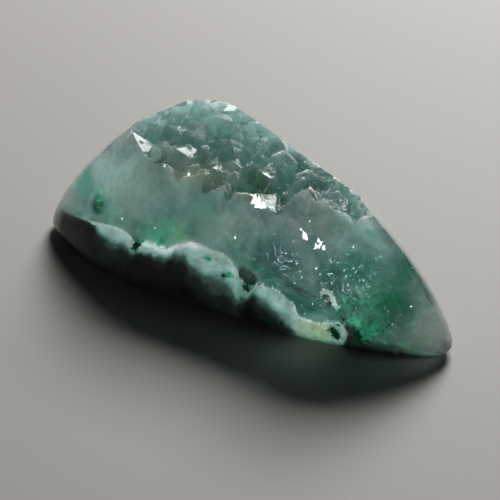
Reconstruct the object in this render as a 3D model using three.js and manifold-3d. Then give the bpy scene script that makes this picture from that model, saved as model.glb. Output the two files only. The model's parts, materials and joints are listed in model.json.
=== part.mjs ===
// Gem silica druzy: a translucent green cabochon, cut as a long half-moon that
// narrows to one rounded point. Its base and its walls are polished. Its top is
// the natural skin of the stone, a druzy of low quartz points grown together.
//
// Millimetres, +Z up. The base lies on z = 0, +X runs along the stone to its
// narrow point and +Y is the long, bowed side.

import * as THREE from 'three';
import { mergeVertices } from 'three/addons/utils/BufferGeometryUtils.js';
import Module from 'manifold-3d';

const { clamp, degToRad, lerp, smoothstep } = THREE.MathUtils;

// The widest line of the stone seen from above, taken from the point and along
// the bowed side first. The base is a little smaller, which leaves a bevel.
const GIRDLE_POINTS = [
  [12.85, -4.0], [11.3, -1.9], [8.3, 0.85], [3.9, 3.5], [-0.6, 5.8],
  [-4.0, 7.0], [-7.0, 6.3], [-9.7, 4.0], [-11.7, 0.5], [-12.9, -3.2],
  [-11.2, -5.1], [-7.1, -6.8], [0.0, -6.9], [6.7, -6.5], [12.0, -5.2],
];
const GIRDLE_HEIGHT = 0.6;
const BASE_SCALE = 0.94;

// The polished walls lean in to a ridge line between these two ends.
const RIDGE_BROAD_END = new THREE.Vector3(-4.4, -0.65, 9.7);
const RIDGE_NARROW_END = new THREE.Vector3(5.4, -3.7, 8.4);
const WALL_FULLNESS = 1.5;
const WALL_SWEEP = degToRad(86);
const WALL_STEPS = 15;
const AROUND_STEPS = 90;

// The druzy skin, at the roots of its quartz points: its height at the back and
// how far it falls from DRUZY_BACK to DRUZY_FRONT. A hollow opens to the front
// between two slopes, a low crown lies across the middle, a swell runs over the
// skin and pockets break its rim.
const DRUZY_HEIGHT = 7.6;
const DRUZY_BACK = 3.5;
const DRUZY_FRONT = -5;
const RIM_FALL = 0.35;
const HOLLOW_FALL = 1;
const HOLLOW_BACK = 0.5;
const HOLLOW_SLOPE_BROAD = [-5, -2.6];
const HOLLOW_SLOPE_NARROW = [2.3, 3.6];
const CROWN_CENTRE = 1.5;
const CROWN_WIDTH = 3.5;
const CROWN_RISE = 0.25;
const SWELL_RISE = 0.12;
const SWELL_TURNS_X = 1.1;
const SWELL_TURNS_Y = 0.9;
const SWELL_PHASE = 0.6;
const POCKETS = [
  { centre: new THREE.Vector2(0.2, -4.8), radius: 1.2, depth: 0.25 },
  { centre: new THREE.Vector2(-6.7, -2.6), radius: 1.1, depth: 0.55 },
];

// The bare skin between the quartz points lies this far below their roots.
const SKIN_DROP = 0.45;

// The quartz points that cover the druzy skin, in a field that is wider than
// the skin. Each is sunk by a share of its radius, so only its tip stands out.
const POINT_FIELD = { left: -9.2, right: 8.2, front: -5.4, back: 4.2 };
const POINT_SPACING = 1.25;
const POINT_SHAKE = 0.6;
const POINT_RADIUS_MIN = 0.7;
const POINT_RADIUS_MAX = 1.5;
const POINT_SIZE_BIAS = 1.6;
const POINT_ROOT = 1.6;
const POINT_STEEPNESS = 0.66;
const POINT_SINK = 0.32;
const POINT_UNEVENNESS = 0.4;
const POINT_TILT = degToRad(30);

// The block of stone under the skin: wider than the cabochon and deeper.
const BLOCK_LENGTH = 30;
const BLOCK_WIDTH = 18;
const BLOCK_BOTTOM = -1;
const BLOCK_CELL = 1;

const manifoldLibrary = await Module();
manifoldLibrary.setup();

// A repeatable number from 0 to 1 for each quartz point and purpose.
function scatter(index, purpose) {
  const wave = Math.sin(index * 127.1 + purpose * 311.7) * 43758.5453;
  return wave - Math.floor(wave);
}

function toSolid(geometry) {
  const bare = geometry.clone();
  bare.deleteAttribute('normal');
  bare.deleteAttribute('uv');
  const merged = mergeVertices(bare, 1e-5);
  return new manifoldLibrary.Manifold(new manifoldLibrary.Mesh({
    numProp: 3,
    vertProperties: new Float32Array(merged.attributes.position.array),
    triVerts: new Uint32Array(merged.index.array),
  }));
}

function toGeometry(solid) {
  const mesh = solid.getMesh();
  const geometry = new THREE.BufferGeometry();
  geometry.setAttribute('position', new THREE.BufferAttribute(mesh.vertProperties, 3));
  geometry.setIndex(new THREE.BufferAttribute(mesh.triVerts, 1));
  return geometry;
}

// How far along the ridge, from 0 to 1, lies the ridge point closest in plan.
function nearestShareOfRidge(place) {
  const run = RIDGE_NARROW_END.clone().sub(RIDGE_BROAD_END).setZ(0);
  const reach = place.clone().sub(RIDGE_BROAD_END).setZ(0);
  return clamp(reach.dot(run) / run.lengthSq(), 0, 1);
}

// One upright line of the polished form: from the edge of the base out to the
// girdle, then up the leaning wall to just below the ridge.
function wallLine(edge) {
  const ridge = new THREE.Line3(RIDGE_BROAD_END, RIDGE_NARROW_END);
  const top = ridge.at(nearestShareOfRidge(edge), new THREE.Vector3());
  const line = [edge.clone().lerp(top, 1 - BASE_SCALE).setZ(0)];
  for (let row = 0; row < WALL_STEPS; row += 1) {
    const angle = WALL_SWEEP * row / (WALL_STEPS - 1);
    const inward = 1 - Math.cos(angle) ** WALL_FULLNESS;
    const upward = Math.sin(angle) ** WALL_FULLNESS;
    const height = lerp(edge.z, top.z, upward);
    line.push(edge.clone().lerp(top, inward).setZ(height));
  }
  return line;
}

// The polished form before its top is taken away, closed by a fan of triangles
// below and another above.
function polishedForm() {
  const corners = GIRDLE_POINTS.map(([x, y]) => new THREE.Vector3(x, y, GIRDLE_HEIGHT));
  const girdle = new THREE.CatmullRomCurve3(corners, true, 'catmullrom', 0.5);
  const places = [];
  for (let step = 0; step < AROUND_STEPS; step += 1) {
    places.push(...wallLine(girdle.getPoint(step / AROUND_STEPS)));
  }
  const rows = WALL_STEPS + 1;
  const baseMiddle = places.length;
  const topMiddle = baseMiddle + 1;
  const middle = RIDGE_BROAD_END.clone().lerp(RIDGE_NARROW_END, 0.5);
  places.push(middle.clone().setZ(0), middle);
  const triangles = [];
  for (let step = 0; step < AROUND_STEPS; step += 1) {
    const here = step * rows;
    const next = ((step + 1) % AROUND_STEPS) * rows;
    triangles.push(baseMiddle, next, here);
    for (let row = 0; row < rows - 1; row += 1) {
      triangles.push(here + row, next + row, next + row + 1);
      triangles.push(here + row, next + row + 1, here + row + 1);
    }
    triangles.push(here + rows - 1, next + rows - 1, topMiddle);
  }
  const geometry = new THREE.BufferGeometry().setFromPoints(places);
  geometry.setIndex(triangles);
  return toSolid(geometry);
}

// The height of the druzy skin at the roots of its quartz points.
function druzyHeight(x, y) {
  const rim = RIM_FALL * (1 - smoothstep(y, DRUZY_FRONT, DRUZY_BACK));
  const across = smoothstep(x, ...HOLLOW_SLOPE_BROAD) - smoothstep(x, ...HOLLOW_SLOPE_NARROW);
  const hollow = HOLLOW_FALL * across * (1 - smoothstep(y, DRUZY_FRONT, HOLLOW_BACK));
  const crown = CROWN_RISE * Math.exp(-(((x - CROWN_CENTRE) / CROWN_WIDTH) ** 2));
  const swell = SWELL_RISE * Math.sin(SWELL_TURNS_X * x + SWELL_PHASE) * Math.cos(SWELL_TURNS_Y * y);
  let height = DRUZY_HEIGHT + crown + swell - rim - hollow;
  for (const { centre, radius, depth } of POCKETS) {
    const reach = centre.distanceTo(new THREE.Vector2(x, y)) / radius;
    height -= depth * Math.exp(-(reach ** 2));
  }
  return height;
}

// A block whose upper face is the bare druzy skin.
function druzyBlock() {
  const columns = Math.round(BLOCK_LENGTH / BLOCK_CELL);
  const rows = Math.round(BLOCK_WIDTH / BLOCK_CELL);
  const block = new THREE.BoxGeometry(BLOCK_LENGTH, BLOCK_WIDTH, 1, columns, rows, 1);
  const position = block.attributes.position;
  for (let index = 0; index < position.count; index += 1) {
    const onTop = position.getZ(index) > 0;
    const skin = druzyHeight(position.getX(index), position.getY(index)) - SKIN_DROP;
    position.setZ(index, onTop ? skin : BLOCK_BOTTOM);
  }
  return toSolid(block);
}

// One quartz point: a six-sided prism under a six-sided pyramid whose tip sits
// a little off its middle, leaning any way from upright.
function quartzPoint(index, x, y) {
  const size = scatter(index, 3) ** POINT_SIZE_BIAS;
  const radius = lerp(POINT_RADIUS_MIN, POINT_RADIUS_MAX, size);
  const shoulder = POINT_UNEVENNESS * (scatter(index, 4) - 0.5) - POINT_SINK * radius;
  const tip = new THREE.Vector3(
    POINT_UNEVENNESS * radius * (scatter(index, 5) - 0.5),
    POINT_UNEVENNESS * radius * (scatter(index, 6) - 0.5),
    shoulder + POINT_STEEPNESS * radius,
  );
  const geometry = new THREE.CylinderGeometry(radius, radius, POINT_ROOT, 6, 1);
  geometry.rotateX(Math.PI / 2);
  geometry.translate(0, 0, shoulder - POINT_ROOT / 2);
  const position = geometry.attributes.position;
  for (let corner = 0; corner < position.count; corner += 1) {
    const fromAxis = Math.hypot(position.getX(corner), position.getY(corner));
    const fromShoulder = Math.abs(position.getZ(corner) - shoulder);
    if (fromAxis + fromShoulder < 1e-5) {
      position.setXYZ(corner, tip.x, tip.y, tip.z);
    }
  }
  const lean = POINT_TILT * Math.sqrt(scatter(index, 7));
  const heading = 2 * Math.PI * scatter(index, 8);
  const leanAxis = new THREE.Vector3(Math.cos(heading), Math.sin(heading), 0);
  geometry.rotateZ(Math.PI / 3 * scatter(index, 9));
  geometry.applyQuaternion(new THREE.Quaternion().setFromAxisAngle(leanAxis, lean));
  geometry.translate(x, y, druzyHeight(x, y));
  return toSolid(geometry);
}

// The druzy: the block with every quartz point grown onto it, in staggered
// rows that are shaken out of line.
function druzy() {
  const { left, right, front, back } = POINT_FIELD;
  const rowStep = POINT_SPACING * Math.sqrt(3) / 2;
  const shake = POINT_SHAKE * POINT_SPACING;
  let solid = druzyBlock();
  let index = 0;
  for (let row = 0; front + row * rowStep < back; row += 1) {
    const start = left + (row % 2) * POINT_SPACING / 2;
    for (let column = 0; start + column * POINT_SPACING < right; column += 1) {
      const x = start + column * POINT_SPACING + shake * (scatter(index, 1) - 0.5);
      const y = front + row * rowStep + shake * (scatter(index, 2) - 0.5);
      solid = solid.add(quartzPoint(index, x, y));
      index += 1;
    }
  }
  return solid;
}

// The whole stone is one solid: where a quartz point crosses the polished
// form, it is ground away with the wall.
function stone() {
  const solid = polishedForm().intersect(druzy());
  const material = new THREE.MeshStandardMaterial({
    color: '#6f9a83',
    roughness: 0.12,
    metalness: 0,
    flatShading: true,
  });
  const mesh = new THREE.Mesh(toGeometry(solid), material);
  mesh.name = 'druzy_stone';
  return mesh;
}

const group = new THREE.Group();
group.add(stone());

export default group;
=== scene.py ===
"""Gem silica druzy: a polished half-moon cabochon with a natural druzy top.

Run as a script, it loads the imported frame, grows the stone around it, seals
the minerals inside and sets the stage. Places and sizes are in millimetres of
the full-size stone, and MM turns them into the metres of the frame. X runs
from the broad end to the narrow point, and the front wall faces -Y.
"""

import json
import math
import random

import bmesh
import bpy
from bpy.props import FloatProperty, FloatVectorProperty, IntProperty, PointerProperty
from mathutils import Matrix, Vector, noise
from mathutils.bvhtree import BVHTree

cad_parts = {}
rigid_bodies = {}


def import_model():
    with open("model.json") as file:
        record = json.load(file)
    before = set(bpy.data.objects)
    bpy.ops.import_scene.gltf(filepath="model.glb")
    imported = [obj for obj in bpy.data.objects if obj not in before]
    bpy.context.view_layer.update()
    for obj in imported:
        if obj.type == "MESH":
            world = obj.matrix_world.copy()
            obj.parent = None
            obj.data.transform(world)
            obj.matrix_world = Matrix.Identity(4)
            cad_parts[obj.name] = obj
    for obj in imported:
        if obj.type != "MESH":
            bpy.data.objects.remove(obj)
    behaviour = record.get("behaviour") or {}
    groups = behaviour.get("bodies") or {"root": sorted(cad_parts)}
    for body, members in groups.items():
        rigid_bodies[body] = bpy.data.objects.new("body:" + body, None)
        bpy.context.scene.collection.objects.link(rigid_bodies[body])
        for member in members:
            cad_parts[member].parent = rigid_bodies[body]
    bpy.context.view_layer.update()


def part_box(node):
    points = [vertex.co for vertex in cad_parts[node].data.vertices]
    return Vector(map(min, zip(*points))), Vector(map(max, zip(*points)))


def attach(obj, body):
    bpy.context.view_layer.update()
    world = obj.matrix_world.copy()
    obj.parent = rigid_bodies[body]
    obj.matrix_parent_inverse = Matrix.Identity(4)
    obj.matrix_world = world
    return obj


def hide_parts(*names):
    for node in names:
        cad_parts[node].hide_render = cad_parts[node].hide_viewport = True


bl_info = {
    "name": "Gem Silica Druzy",
    "version": (1, 0, 0),
    "blender": (4, 5, 0),
    "location": "View3D > Sidebar > Gem Druzy",
    "description": "Builds a see-through druzy cabochon with the minerals sealed in it",
    "category": "Add Mesh",
}

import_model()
STONE_NODE = "druzy_stone"

STONE_LOW, STONE_HIGH = (Vector(corner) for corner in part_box(STONE_NODE))
DESIGN_LENGTH = 25.81
MM = (STONE_HIGH.x - STONE_LOW.x) / DESIGN_LENGTH


# ---------------------------------------------------------------------------
# The stone's form, in millimetres of the full-size stone
# ---------------------------------------------------------------------------

# The widest line of the stone seen from above, from the point and along the
# bowed side first.
GIRDLE_POINTS = (
    (12.85, -4.0), (11.3, -1.9), (8.3, 0.85), (3.9, 3.5), (-0.6, 5.8),
    (-4.0, 7.0), (-7.0, 6.3), (-9.7, 4.0), (-11.7, 0.5), (-12.9, -3.2),
    (-11.2, -5.1), (-7.1, -6.8), (0.0, -6.9), (6.7, -6.5), (12.0, -5.2),
)
GIRDLE_HEIGHT = 0.6
BASE_SCALE = 0.94

# The polished walls lean in to a ridge line between these two ends.
RIDGE_BROAD_END = Vector((-4.4, -0.65, 9.7))
RIDGE_NARROW_END = Vector((5.4, -3.7, 8.4))
WALL_FULLNESS = 1.5
WALL_SWEEP = math.radians(86)

# The druzy skin under its quartz points.
DRUZY_HEIGHT = 7.6
DRUZY_BACK = 3.5
DRUZY_FRONT = -5.0
RIM_FALL = 0.35
HOLLOW_FALL = 1.0
HOLLOW_BACK = 0.5
HOLLOW_LEFT = (-5.0, -2.6)
HOLLOW_RIGHT = (2.3, 3.6)
CROWN_CENTRE = 1.5
CROWN_WIDTH = 3.5
CROWN_RISE = 0.25
SWELL_RISE = 0.12
SWELL_WAVE_X = 1.1
SWELL_WAVE_Y = 0.9
SWELL_SHIFT = 0.6
# Pockets that break the skin: x and y of the middle, radius and depth.
POCKETS = ((0.2, -4.8, 1.2, 0.25), (-6.7, -2.6, 1.1, 0.55))

# The quartz points on the druzy skin.
POINT_LEFT, POINT_RIGHT = -9.2, 8.2
POINT_FRONT, POINT_BACK = -5.4, 4.2
POINT_SPACING = 1.25
POINT_SHAKE = 0.6
POINT_RADIUS_MIN = 0.7
POINT_RADIUS_MAX = 1.5
POINT_SIZE_BIAS = 1.6
POINT_ROOT = 1.6
POINT_STEEPNESS = 0.66
POINT_SINK = 0.32
POINT_UNEVENNESS = 0.4
POINT_TILT = math.radians(30)
# The share of a flashing point's radius that other points keep away from.
FLASH_CLEARING = 0.85

# One quartz point of radius 1: how unevenly its sides are turned, how far they
# reach, how far its tip may lean, and the sloping edge that some tips end in.
SIDE_SHAKE = 0.35
SIDE_REACH = (0.82, 1.12)
TIP_LEAN = 1.4 * POINT_UNEVENNESS
TIP_HALF_EDGE = 0.3
TIP_SLOPE = 0.92
POINT_VARIANTS = 5

# The fine quartz points: how many are tried on each square metre, how far they
# lean and spin either way, and the smallest as a share of the largest.
FINE_DENSITY = 4.0e6
FINE_SWAY = Vector((0.5, 0.5, 3.0))
FINE_SMALLEST = 0.35

# Where the window's light comes from, and where the stone is looked at from.
WINDOW_PLACE = Vector((-35.0, 200.0, 155.0))
VIEWER_PLACE = Vector((38.9, -76.9, 60.5))

# A face turned less than this from the window's flash is turned again, up to
# this many times, with numbers this far on in the scatter.
DULL_ANGLE = math.radians(16)
TURN_ATTEMPTS = 30
PURPOSE_STEP = 40

# The skin between the quartz points: how far it lies below their roots, its
# unevenness, and the block of stone that carries it.
SKIN_DROP = 0.45
SKIN_ROUGHNESS = 0.35
SKIN_WAVE = 1.9
BLOCK_LENGTH = 30
BLOCK_WIDTH = 18
BLOCK_FLOOR = -1

# Odd factors that make neighbouring numbers scatter.
SCATTER_INDEX = 127.1
SCATTER_PURPOSE = 311.7
SCATTER_SPREAD = 43758.5453


def clamp(value, low=0.0, high=1.0):
    """The value kept between low and high."""
    return max(low, min(high, value))


def mix(low, high, share):
    """The value that lies that share of the way from low to high."""
    return low + (high - low) * share


def ease(value, start, end):
    """0 before start, 1 after end and a smooth rise between."""
    share = clamp((value - start) / (end - start))
    return share * share * (3 - 2 * share)


def scatter(index, purpose):
    """A repeatable number from 0 to 1 for each quartz point and purpose."""
    wave = math.sin(index * SCATTER_INDEX + purpose * SCATTER_PURPOSE) * SCATTER_SPREAD
    return wave - math.floor(wave)


def smooth_loop(points, steps):
    """A closed curve through the points, as that many evenly counted places."""
    count = len(points)
    places = []
    for step in range(steps):
        position = step * count / steps
        index = int(position)
        share = position - index
        before, start, end, after = (
            Vector(points[(index + offset) % count]) for offset in (-1, 0, 1, 2)
        )
        places.append(
            0.5 * (2 * start + (end - before) * share
                   + (2 * before - 5 * start + 4 * end - after) * share ** 2
                   + (3 * start - before - 3 * end + after) * share ** 3)
        )
    return places


def smooth_path(knots, x):
    """The height at x of a curve through (x, height) knots, level at both ends."""
    if x <= knots[0][0]:
        return knots[0][1]
    for (left, low), (right, high) in zip(knots, knots[1:]):
        if x <= right:
            return mix(low, high, ease(x, left, right))
    return knots[-1][1]


def ridge_above(edge):
    """The ridge point that lies closest in plan to a place on the girdle."""
    run = (RIDGE_NARROW_END - RIDGE_BROAD_END).xy
    reach = edge.xy - RIDGE_BROAD_END.xy
    return RIDGE_BROAD_END.lerp(RIDGE_NARROW_END, clamp(reach.dot(run) / run.length_squared))


def wall_place(edge, sweep):
    """A place on the leaning wall above a girdle place; sweep runs from 0 up to the ridge."""
    top = ridge_above(edge)
    inward = 1 - math.cos(sweep) ** WALL_FULLNESS
    upward = math.sin(sweep) ** WALL_FULLNESS
    place = edge.lerp(top, inward)
    place.z = mix(GIRDLE_HEIGHT, top.z, upward)
    return place


def wall_at_height(edge, height, inset=0.0):
    """A place on the wall, or on the bevel under it, at a height, moved in by inset."""
    top = ridge_above(edge)
    if height < GIRDLE_HEIGHT:
        foot = edge.lerp(top, 1 - BASE_SCALE)
        place = foot.lerp(edge, height / GIRDLE_HEIGHT)
    else:
        upward = clamp((height - GIRDLE_HEIGHT) / (top.z - GIRDLE_HEIGHT))
        place = wall_place(edge, math.asin(upward ** (1 / WALL_FULLNESS)))
    inward = (top.xy - edge.xy).normalized()
    return Vector((place.x + inward.x * inset, place.y + inward.y * inset, height))


def druzy_height(x, y):
    """The height of the bare druzy skin."""
    rim = RIM_FALL * (1 - ease(y, DRUZY_FRONT, DRUZY_BACK))
    across = ease(x, *HOLLOW_LEFT) - ease(x, *HOLLOW_RIGHT)
    hollow = HOLLOW_FALL * across * (1 - ease(y, DRUZY_FRONT, HOLLOW_BACK))
    crown = CROWN_RISE * math.exp(-(((x - CROWN_CENTRE) / CROWN_WIDTH) ** 2))
    swell = SWELL_RISE * math.sin(SWELL_WAVE_X * x + SWELL_SHIFT) * math.cos(SWELL_WAVE_Y * y)
    pocket = sum(
        depth * math.exp(-((x - middle_x) ** 2 + (y - middle_y) ** 2) / radius ** 2)
        for middle_x, middle_y, radius, depth in POCKETS
    )
    return DRUZY_HEIGHT + crown + swell - rim - hollow - pocket


def girdle_edges(steps):
    """Places round the girdle, at its height."""
    return [Vector((place.x, place.y, GIRDLE_HEIGHT)) for place in smooth_loop(GIRDLE_POINTS, steps)]


# ---------------------------------------------------------------------------
# Helpers for meshes, node trees and finished pieces
# ---------------------------------------------------------------------------

# The share of a soft spot's reach that is even.
PATCH_CORE = 0.15
# Edges stay sharp from these angles on.
DRUZY_EDGE_ANGLE = math.radians(16)
LAYER_EDGE_ANGLE = math.radians(50)


def mesh_object(name, places, faces):
    """A mesh object from places in millimetres of the full-size stone."""
    mesh = bpy.data.meshes.new(name)
    mesh.from_pydata([place * MM for place in places], [], faces)
    mesh.validate()
    piece = bpy.data.objects.new(name, mesh)
    bpy.context.scene.collection.objects.link(piece)
    return piece


def lofted(name, rings):
    """A closed solid through rings of equal length, with a fan over each end."""
    count = len(rings[0])
    places = [place for ring in rings for place in ring]
    faces = []
    for row in range(len(rings) - 1):
        for step in range(count):
            here = row * count + step
            beside = row * count + (step + 1) % count
            faces.append((here, beside, beside + count, here + count))
    for ring, first, flipped in ((rings[0], 0, True), (rings[-1], len(places) - count, False)):
        middle = len(places)
        places.append(sum(ring, Vector((0, 0, 0))) / count)
        for step in range(count):
            edge = (first + step, first + (step + 1) % count)
            faces.append((edge[1], edge[0], middle) if flipped else (edge[0], edge[1], middle))
    return mesh_object(name, places, faces)


def remove(piece):
    """Takes a helper object and its data away."""
    data = piece.data
    bpy.data.objects.remove(piece)
    if data is not None and data.users == 0:
        bpy.data.meshes.remove(data)


def baked(piece, name):
    """A plain-mesh copy of an object with its modifiers applied; the object goes away."""
    evaluated = piece.evaluated_get(bpy.context.evaluated_depsgraph_get())
    mesh = bpy.data.meshes.new_from_object(evaluated)
    remove(piece)
    mesh.name = name
    plain = bpy.data.objects.new(name, mesh)
    bpy.context.scene.collection.objects.link(plain)
    return plain


def grow(piece, tree, values):
    """Gives an object a geometry node tree with its inputs set by name."""
    modifier = piece.modifiers.new(tree.name, "NODES")
    modifier.node_group = tree
    for item in tree.interface.items_tree:
        if item.item_type == "SOCKET" and item.in_out == "INPUT" and item.name in values:
            modifier[item.identifier] = values[item.name]


def mark(piece, name, kind, values):
    """Stores a value for each vertex of a piece; the kind is FLOAT or FLOAT_VECTOR."""
    marks = piece.data.attributes.new(name, kind, "POINT").data
    field = "value" if kind == "FLOAT" else "vector"
    for vertex_mark, value in zip(marks, values):
        setattr(vertex_mark, field, value)


def finished(piece, material, smooth_angle=None):
    """Dresses a piece, sets its shading and makes it ride on the stone."""
    piece.data.materials.clear()
    piece.data.materials.append(material)
    piece.data.polygons.foreach_set("material_index", [0] * len(piece.data.polygons))
    if smooth_angle is not None:
        piece.data.shade_smooth()
        piece.data.set_sharp_from_angle(angle=smooth_angle)
    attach(piece, "root")


class Nodes:
    """Adds nodes to a tree; an input is a plain value, or a (node, output) pair to link."""

    def __init__(self, tree):
        self.tree = tree

    def add(self, kind, settings=None, inputs=None):
        """A new node with its settings and inputs."""
        node = self.tree.nodes.new(kind)
        for name, value in (settings or {}).items():
            setattr(node, name, value)
        self.feed(node, inputs or {})
        return node

    def feed(self, node, inputs):
        """Links or sets inputs of a node; a colour is given as red, green and blue."""
        for name, value in inputs.items():
            if isinstance(value, tuple) and isinstance(value[0], bpy.types.Node):
                self.tree.links.new(value[0].outputs[value[1]], node.inputs[name])
            elif node.inputs[name].type == "RGBA":
                node.inputs[name].default_value = (*value, 1.0)
            else:
                node.inputs[name].default_value = value

    def math(self, operation, first, second):
        """A sum, product or the like of two numbers."""
        return self.add("ShaderNodeMath", {"operation": operation}, {0: first, 1: second}), 0

    def noise(self, place, cycles, detail, roughness):
        """Noise with that many features for each millimetre."""
        return self.add("ShaderNodeTexNoise", None, {
            "Vector": place, "Scale": cycles / MM, "Detail": detail, "Roughness": roughness,
        }), "Fac"

    def span(self, value, start, end, low, high, smooth=False):
        """Takes a number from the span start to end over to low to high."""
        steps = "SMOOTHSTEP" if smooth else "LINEAR"
        return self.add("ShaderNodeMapRange", {"interpolation_type": steps}, {
            "Value": value, "From Min": start, "From Max": end, "To Min": low, "To Max": high,
        }), "Result"

    def fade(self, value, start, end):
        """0 before start and 1 after end, both in millimetres, with a smooth rise between."""
        return self.span(value, start * MM, end * MM, 0.0, 1.0, smooth=True)

    def mixed(self, share, first, second):
        """The number that lies that share of the way from first to second."""
        return self.add("ShaderNodeMix", {"data_type": "FLOAT"}, {0: share, 2: first, 3: second}), 0

    def blend(self, share, first, second, way="MIX"):
        """The first colour blended with the second by that share."""
        return self.add("ShaderNodeMix", {"data_type": "RGBA", "blend_type": way}, {
            0: share, 6: first, 7: second,
        }), 2

    def dimmed(self, colour, share):
        """A colour made that much stronger or weaker."""
        return self.add("ShaderNodeVectorMath", {"operation": "SCALE"}, {0: colour, "Scale": share}), "Vector"

    def attribute(self, name):
        """A number that is stored on the mesh."""
        return self.add("ShaderNodeAttribute", {"attribute_name": name}), "Fac"

    def ramp(self, value, stops):
        """The colour for a number, by stops of position and colour."""
        node = self.add("ShaderNodeValToRGB", None, {"Fac": value})
        elements = node.color_ramp.elements
        while len(elements) < len(stops):
            elements.new(1.0)
        for element, (position, colour) in zip(elements, stops):
            element.position = position
            element.color = (*colour, 1.0)
        return node, "Color"

    def patch(self, place, centre, reach):
        """A soft spot: 1 at its centre, falling to 0 at its reach."""
        apart = self.add("ShaderNodeVectorMath", {"operation": "DISTANCE"}, {
            0: place, 1: Vector(centre) * MM,
        })
        return self.fade((apart, "Value"), reach, PATCH_CORE * reach)


def new_material(name):
    """A new material, its nodes and its shader."""
    material = bpy.data.materials.new(name)
    material.use_nodes = True
    return material, Nodes(material.node_tree), material.node_tree.nodes["Principled BSDF"]


def geometry_tree(name, sockets):
    """A geometry node tree with a geometry output and the named inputs."""
    tree = bpy.data.node_groups.new(name, "GeometryNodeTree")
    tree.interface.new_socket("Geometry", in_out="OUTPUT", socket_type="NodeSocketGeometry")
    tree.interface.new_socket("Geometry", in_out="INPUT", socket_type="NodeSocketGeometry")
    for socket_name, kind in sockets:
        tree.interface.new_socket(socket_name, in_out="INPUT", socket_type=kind)
    return tree, Nodes(tree)


# ---------------------------------------------------------------------------
# The stone
# ---------------------------------------------------------------------------

def polished_form(name, around=240, rows=44):
    """The polished form before its top is taken away."""
    edges = girdle_edges(around)
    rings = [[wall_at_height(edge, 0.0) for edge in edges]]
    for row in range(rows):
        sweep = WALL_SWEEP * row / (rows - 1)
        rings.append([wall_place(edge, sweep) for edge in edges])
    return lofted(name, rings)


def skin_block(name, cell=0.5):
    """A block of stone whose upper face is the bare druzy skin."""
    columns, rows = round(BLOCK_LENGTH / cell), round(BLOCK_WIDTH / cell)
    top, bottom = [], []
    for row in range(rows + 1):
        for column in range(columns + 1):
            x, y = column * cell - BLOCK_LENGTH / 2, row * cell - BLOCK_WIDTH / 2
            rough = SKIN_ROUGHNESS * noise.noise(Vector((x, y, 0)) * SKIN_WAVE)
            top.append(Vector((x, y, druzy_height(x, y) - SKIN_DROP + rough)))
            bottom.append(Vector((x, y, BLOCK_FLOOR)))
    width, under = columns + 1, len(top)
    faces = []
    for row in range(rows):
        for column in range(columns):
            corner = row * width + column
            tile = (corner, corner + 1, corner + 1 + width, corner + width)
            faces.append(tile)
            faces.append(tuple(under + place for place in reversed(tile)))
    for column in range(columns):
        front, back = column, rows * width + column
        faces.append((under + front, under + front + 1, front + 1, front))
        faces.append((back, back + 1, under + back + 1, under + back))
    for row in range(rows):
        left, right = row * width, row * width + columns
        faces.append((left, left + width, under + left + width, under + left))
        faces.append((under + right, under + right + width, right + width, right))
    return mesh_object(name, top + bottom, faces)


def quartz_point_shape(name, variant):
    """A six-sided quartz point of radius about 1 whose shoulder is at height 0."""
    lean = Vector((scatter(variant, 11) - 0.5, scatter(variant, 12) - 0.5, 0)) * TIP_LEAN
    rim = []
    for side in range(6):
        turn = (side + SIDE_SHAKE * (scatter(variant, 20 + side) - 0.5)) * math.tau / 6
        reach = mix(*SIDE_REACH, scatter(variant, 30 + side))
        rim.append(Vector((math.cos(turn) * reach, math.sin(turn) * reach, 0)))
    root = [Vector((place.x, place.y, -POINT_ROOT)) for place in rim]
    faces = [(6 + side, 6 + (side + 1) % 6, (side + 1) % 6, side) for side in range(6)]
    faces.append((11, 10, 9, 8, 7, 6))
    tips = [lean + Vector((0, 0, POINT_STEEPNESS))]
    if variant % 2:
        edge = Vector((TIP_HALF_EDGE, 0, 0))
        lower = lean + Vector((0, 0, POINT_STEEPNESS * TIP_SLOPE))
        tips = [tips[0] + edge, lower - edge]
        faces += [
            (0, 1, 12), (1, 2, 12), (2, 13, 12), (2, 3, 13),
            (3, 4, 13), (4, 5, 13), (5, 12, 13), (5, 0, 12),
        ]
    else:
        faces += [(side, (side + 1) % 6, 12) for side in range(6)]
    return mesh_object(name, rim + root + tips, faces)


# Large points with one face turned to catch the window: the face's place and
# the point's radius.
FLASHES = (
    ((-6.75, -2.85, 6.95), 1.55),
    ((-4.1, -2.9, 7.35), 0.85),
    ((1.5, -4.55, 6.6), 2.2),
    ((-3.9, 2.2, 7.5), 0.8),
    ((-2.0, -3.2, 7.0), 0.35),
    ((4.9, -3.5, 7.1), 0.4),
    ((1.05, -2.8, 7.25), 0.55),
)


def catching_light(place):
    """The way a face must look at a place to throw the window's light to the viewer."""
    place = Vector(place)
    return ((WINDOW_PLACE - place).normalized() + (VIEWER_PLACE - place).normalized()).normalized()


def turned_away(shape, place, number):
    """How to turn a quartz shape so that none of its faces throws the window's light to the viewer."""
    bright = catching_light(place)
    normals = [face.normal for face in shape.data.polygons if face.center.z > 0]
    for attempt in range(TURN_ATTEMPTS):
        purpose = 7 + PURPOSE_STEP * attempt
        lean = POINT_TILT * math.sqrt(scatter(number, purpose))
        heading = math.tau * scatter(number, purpose + 1)
        axis = Vector((math.cos(heading), math.sin(heading), 0))
        spin = Matrix.Rotation(math.pi / 3 * scatter(number, purpose + 2), 3, "Z")
        turn = Matrix.Rotation(lean, 3, axis) @ spin
        if all((turn @ normal).angle(bright) > DULL_ANGLE for normal in normals):
            break
    return turn


def flash_seed(shape, place, radius):
    """Where to set a quartz shape, and how to turn it, for its largest face to flash."""
    tip_faces = [face for face in shape.data.polygons if face.center.z > 0]
    face = max(tip_faces, key=lambda face: face.area)
    turn = face.normal.rotation_difference(catching_light(place)).to_matrix()
    return Vector(place) - turn @ (face.center * radius), turn


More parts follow.
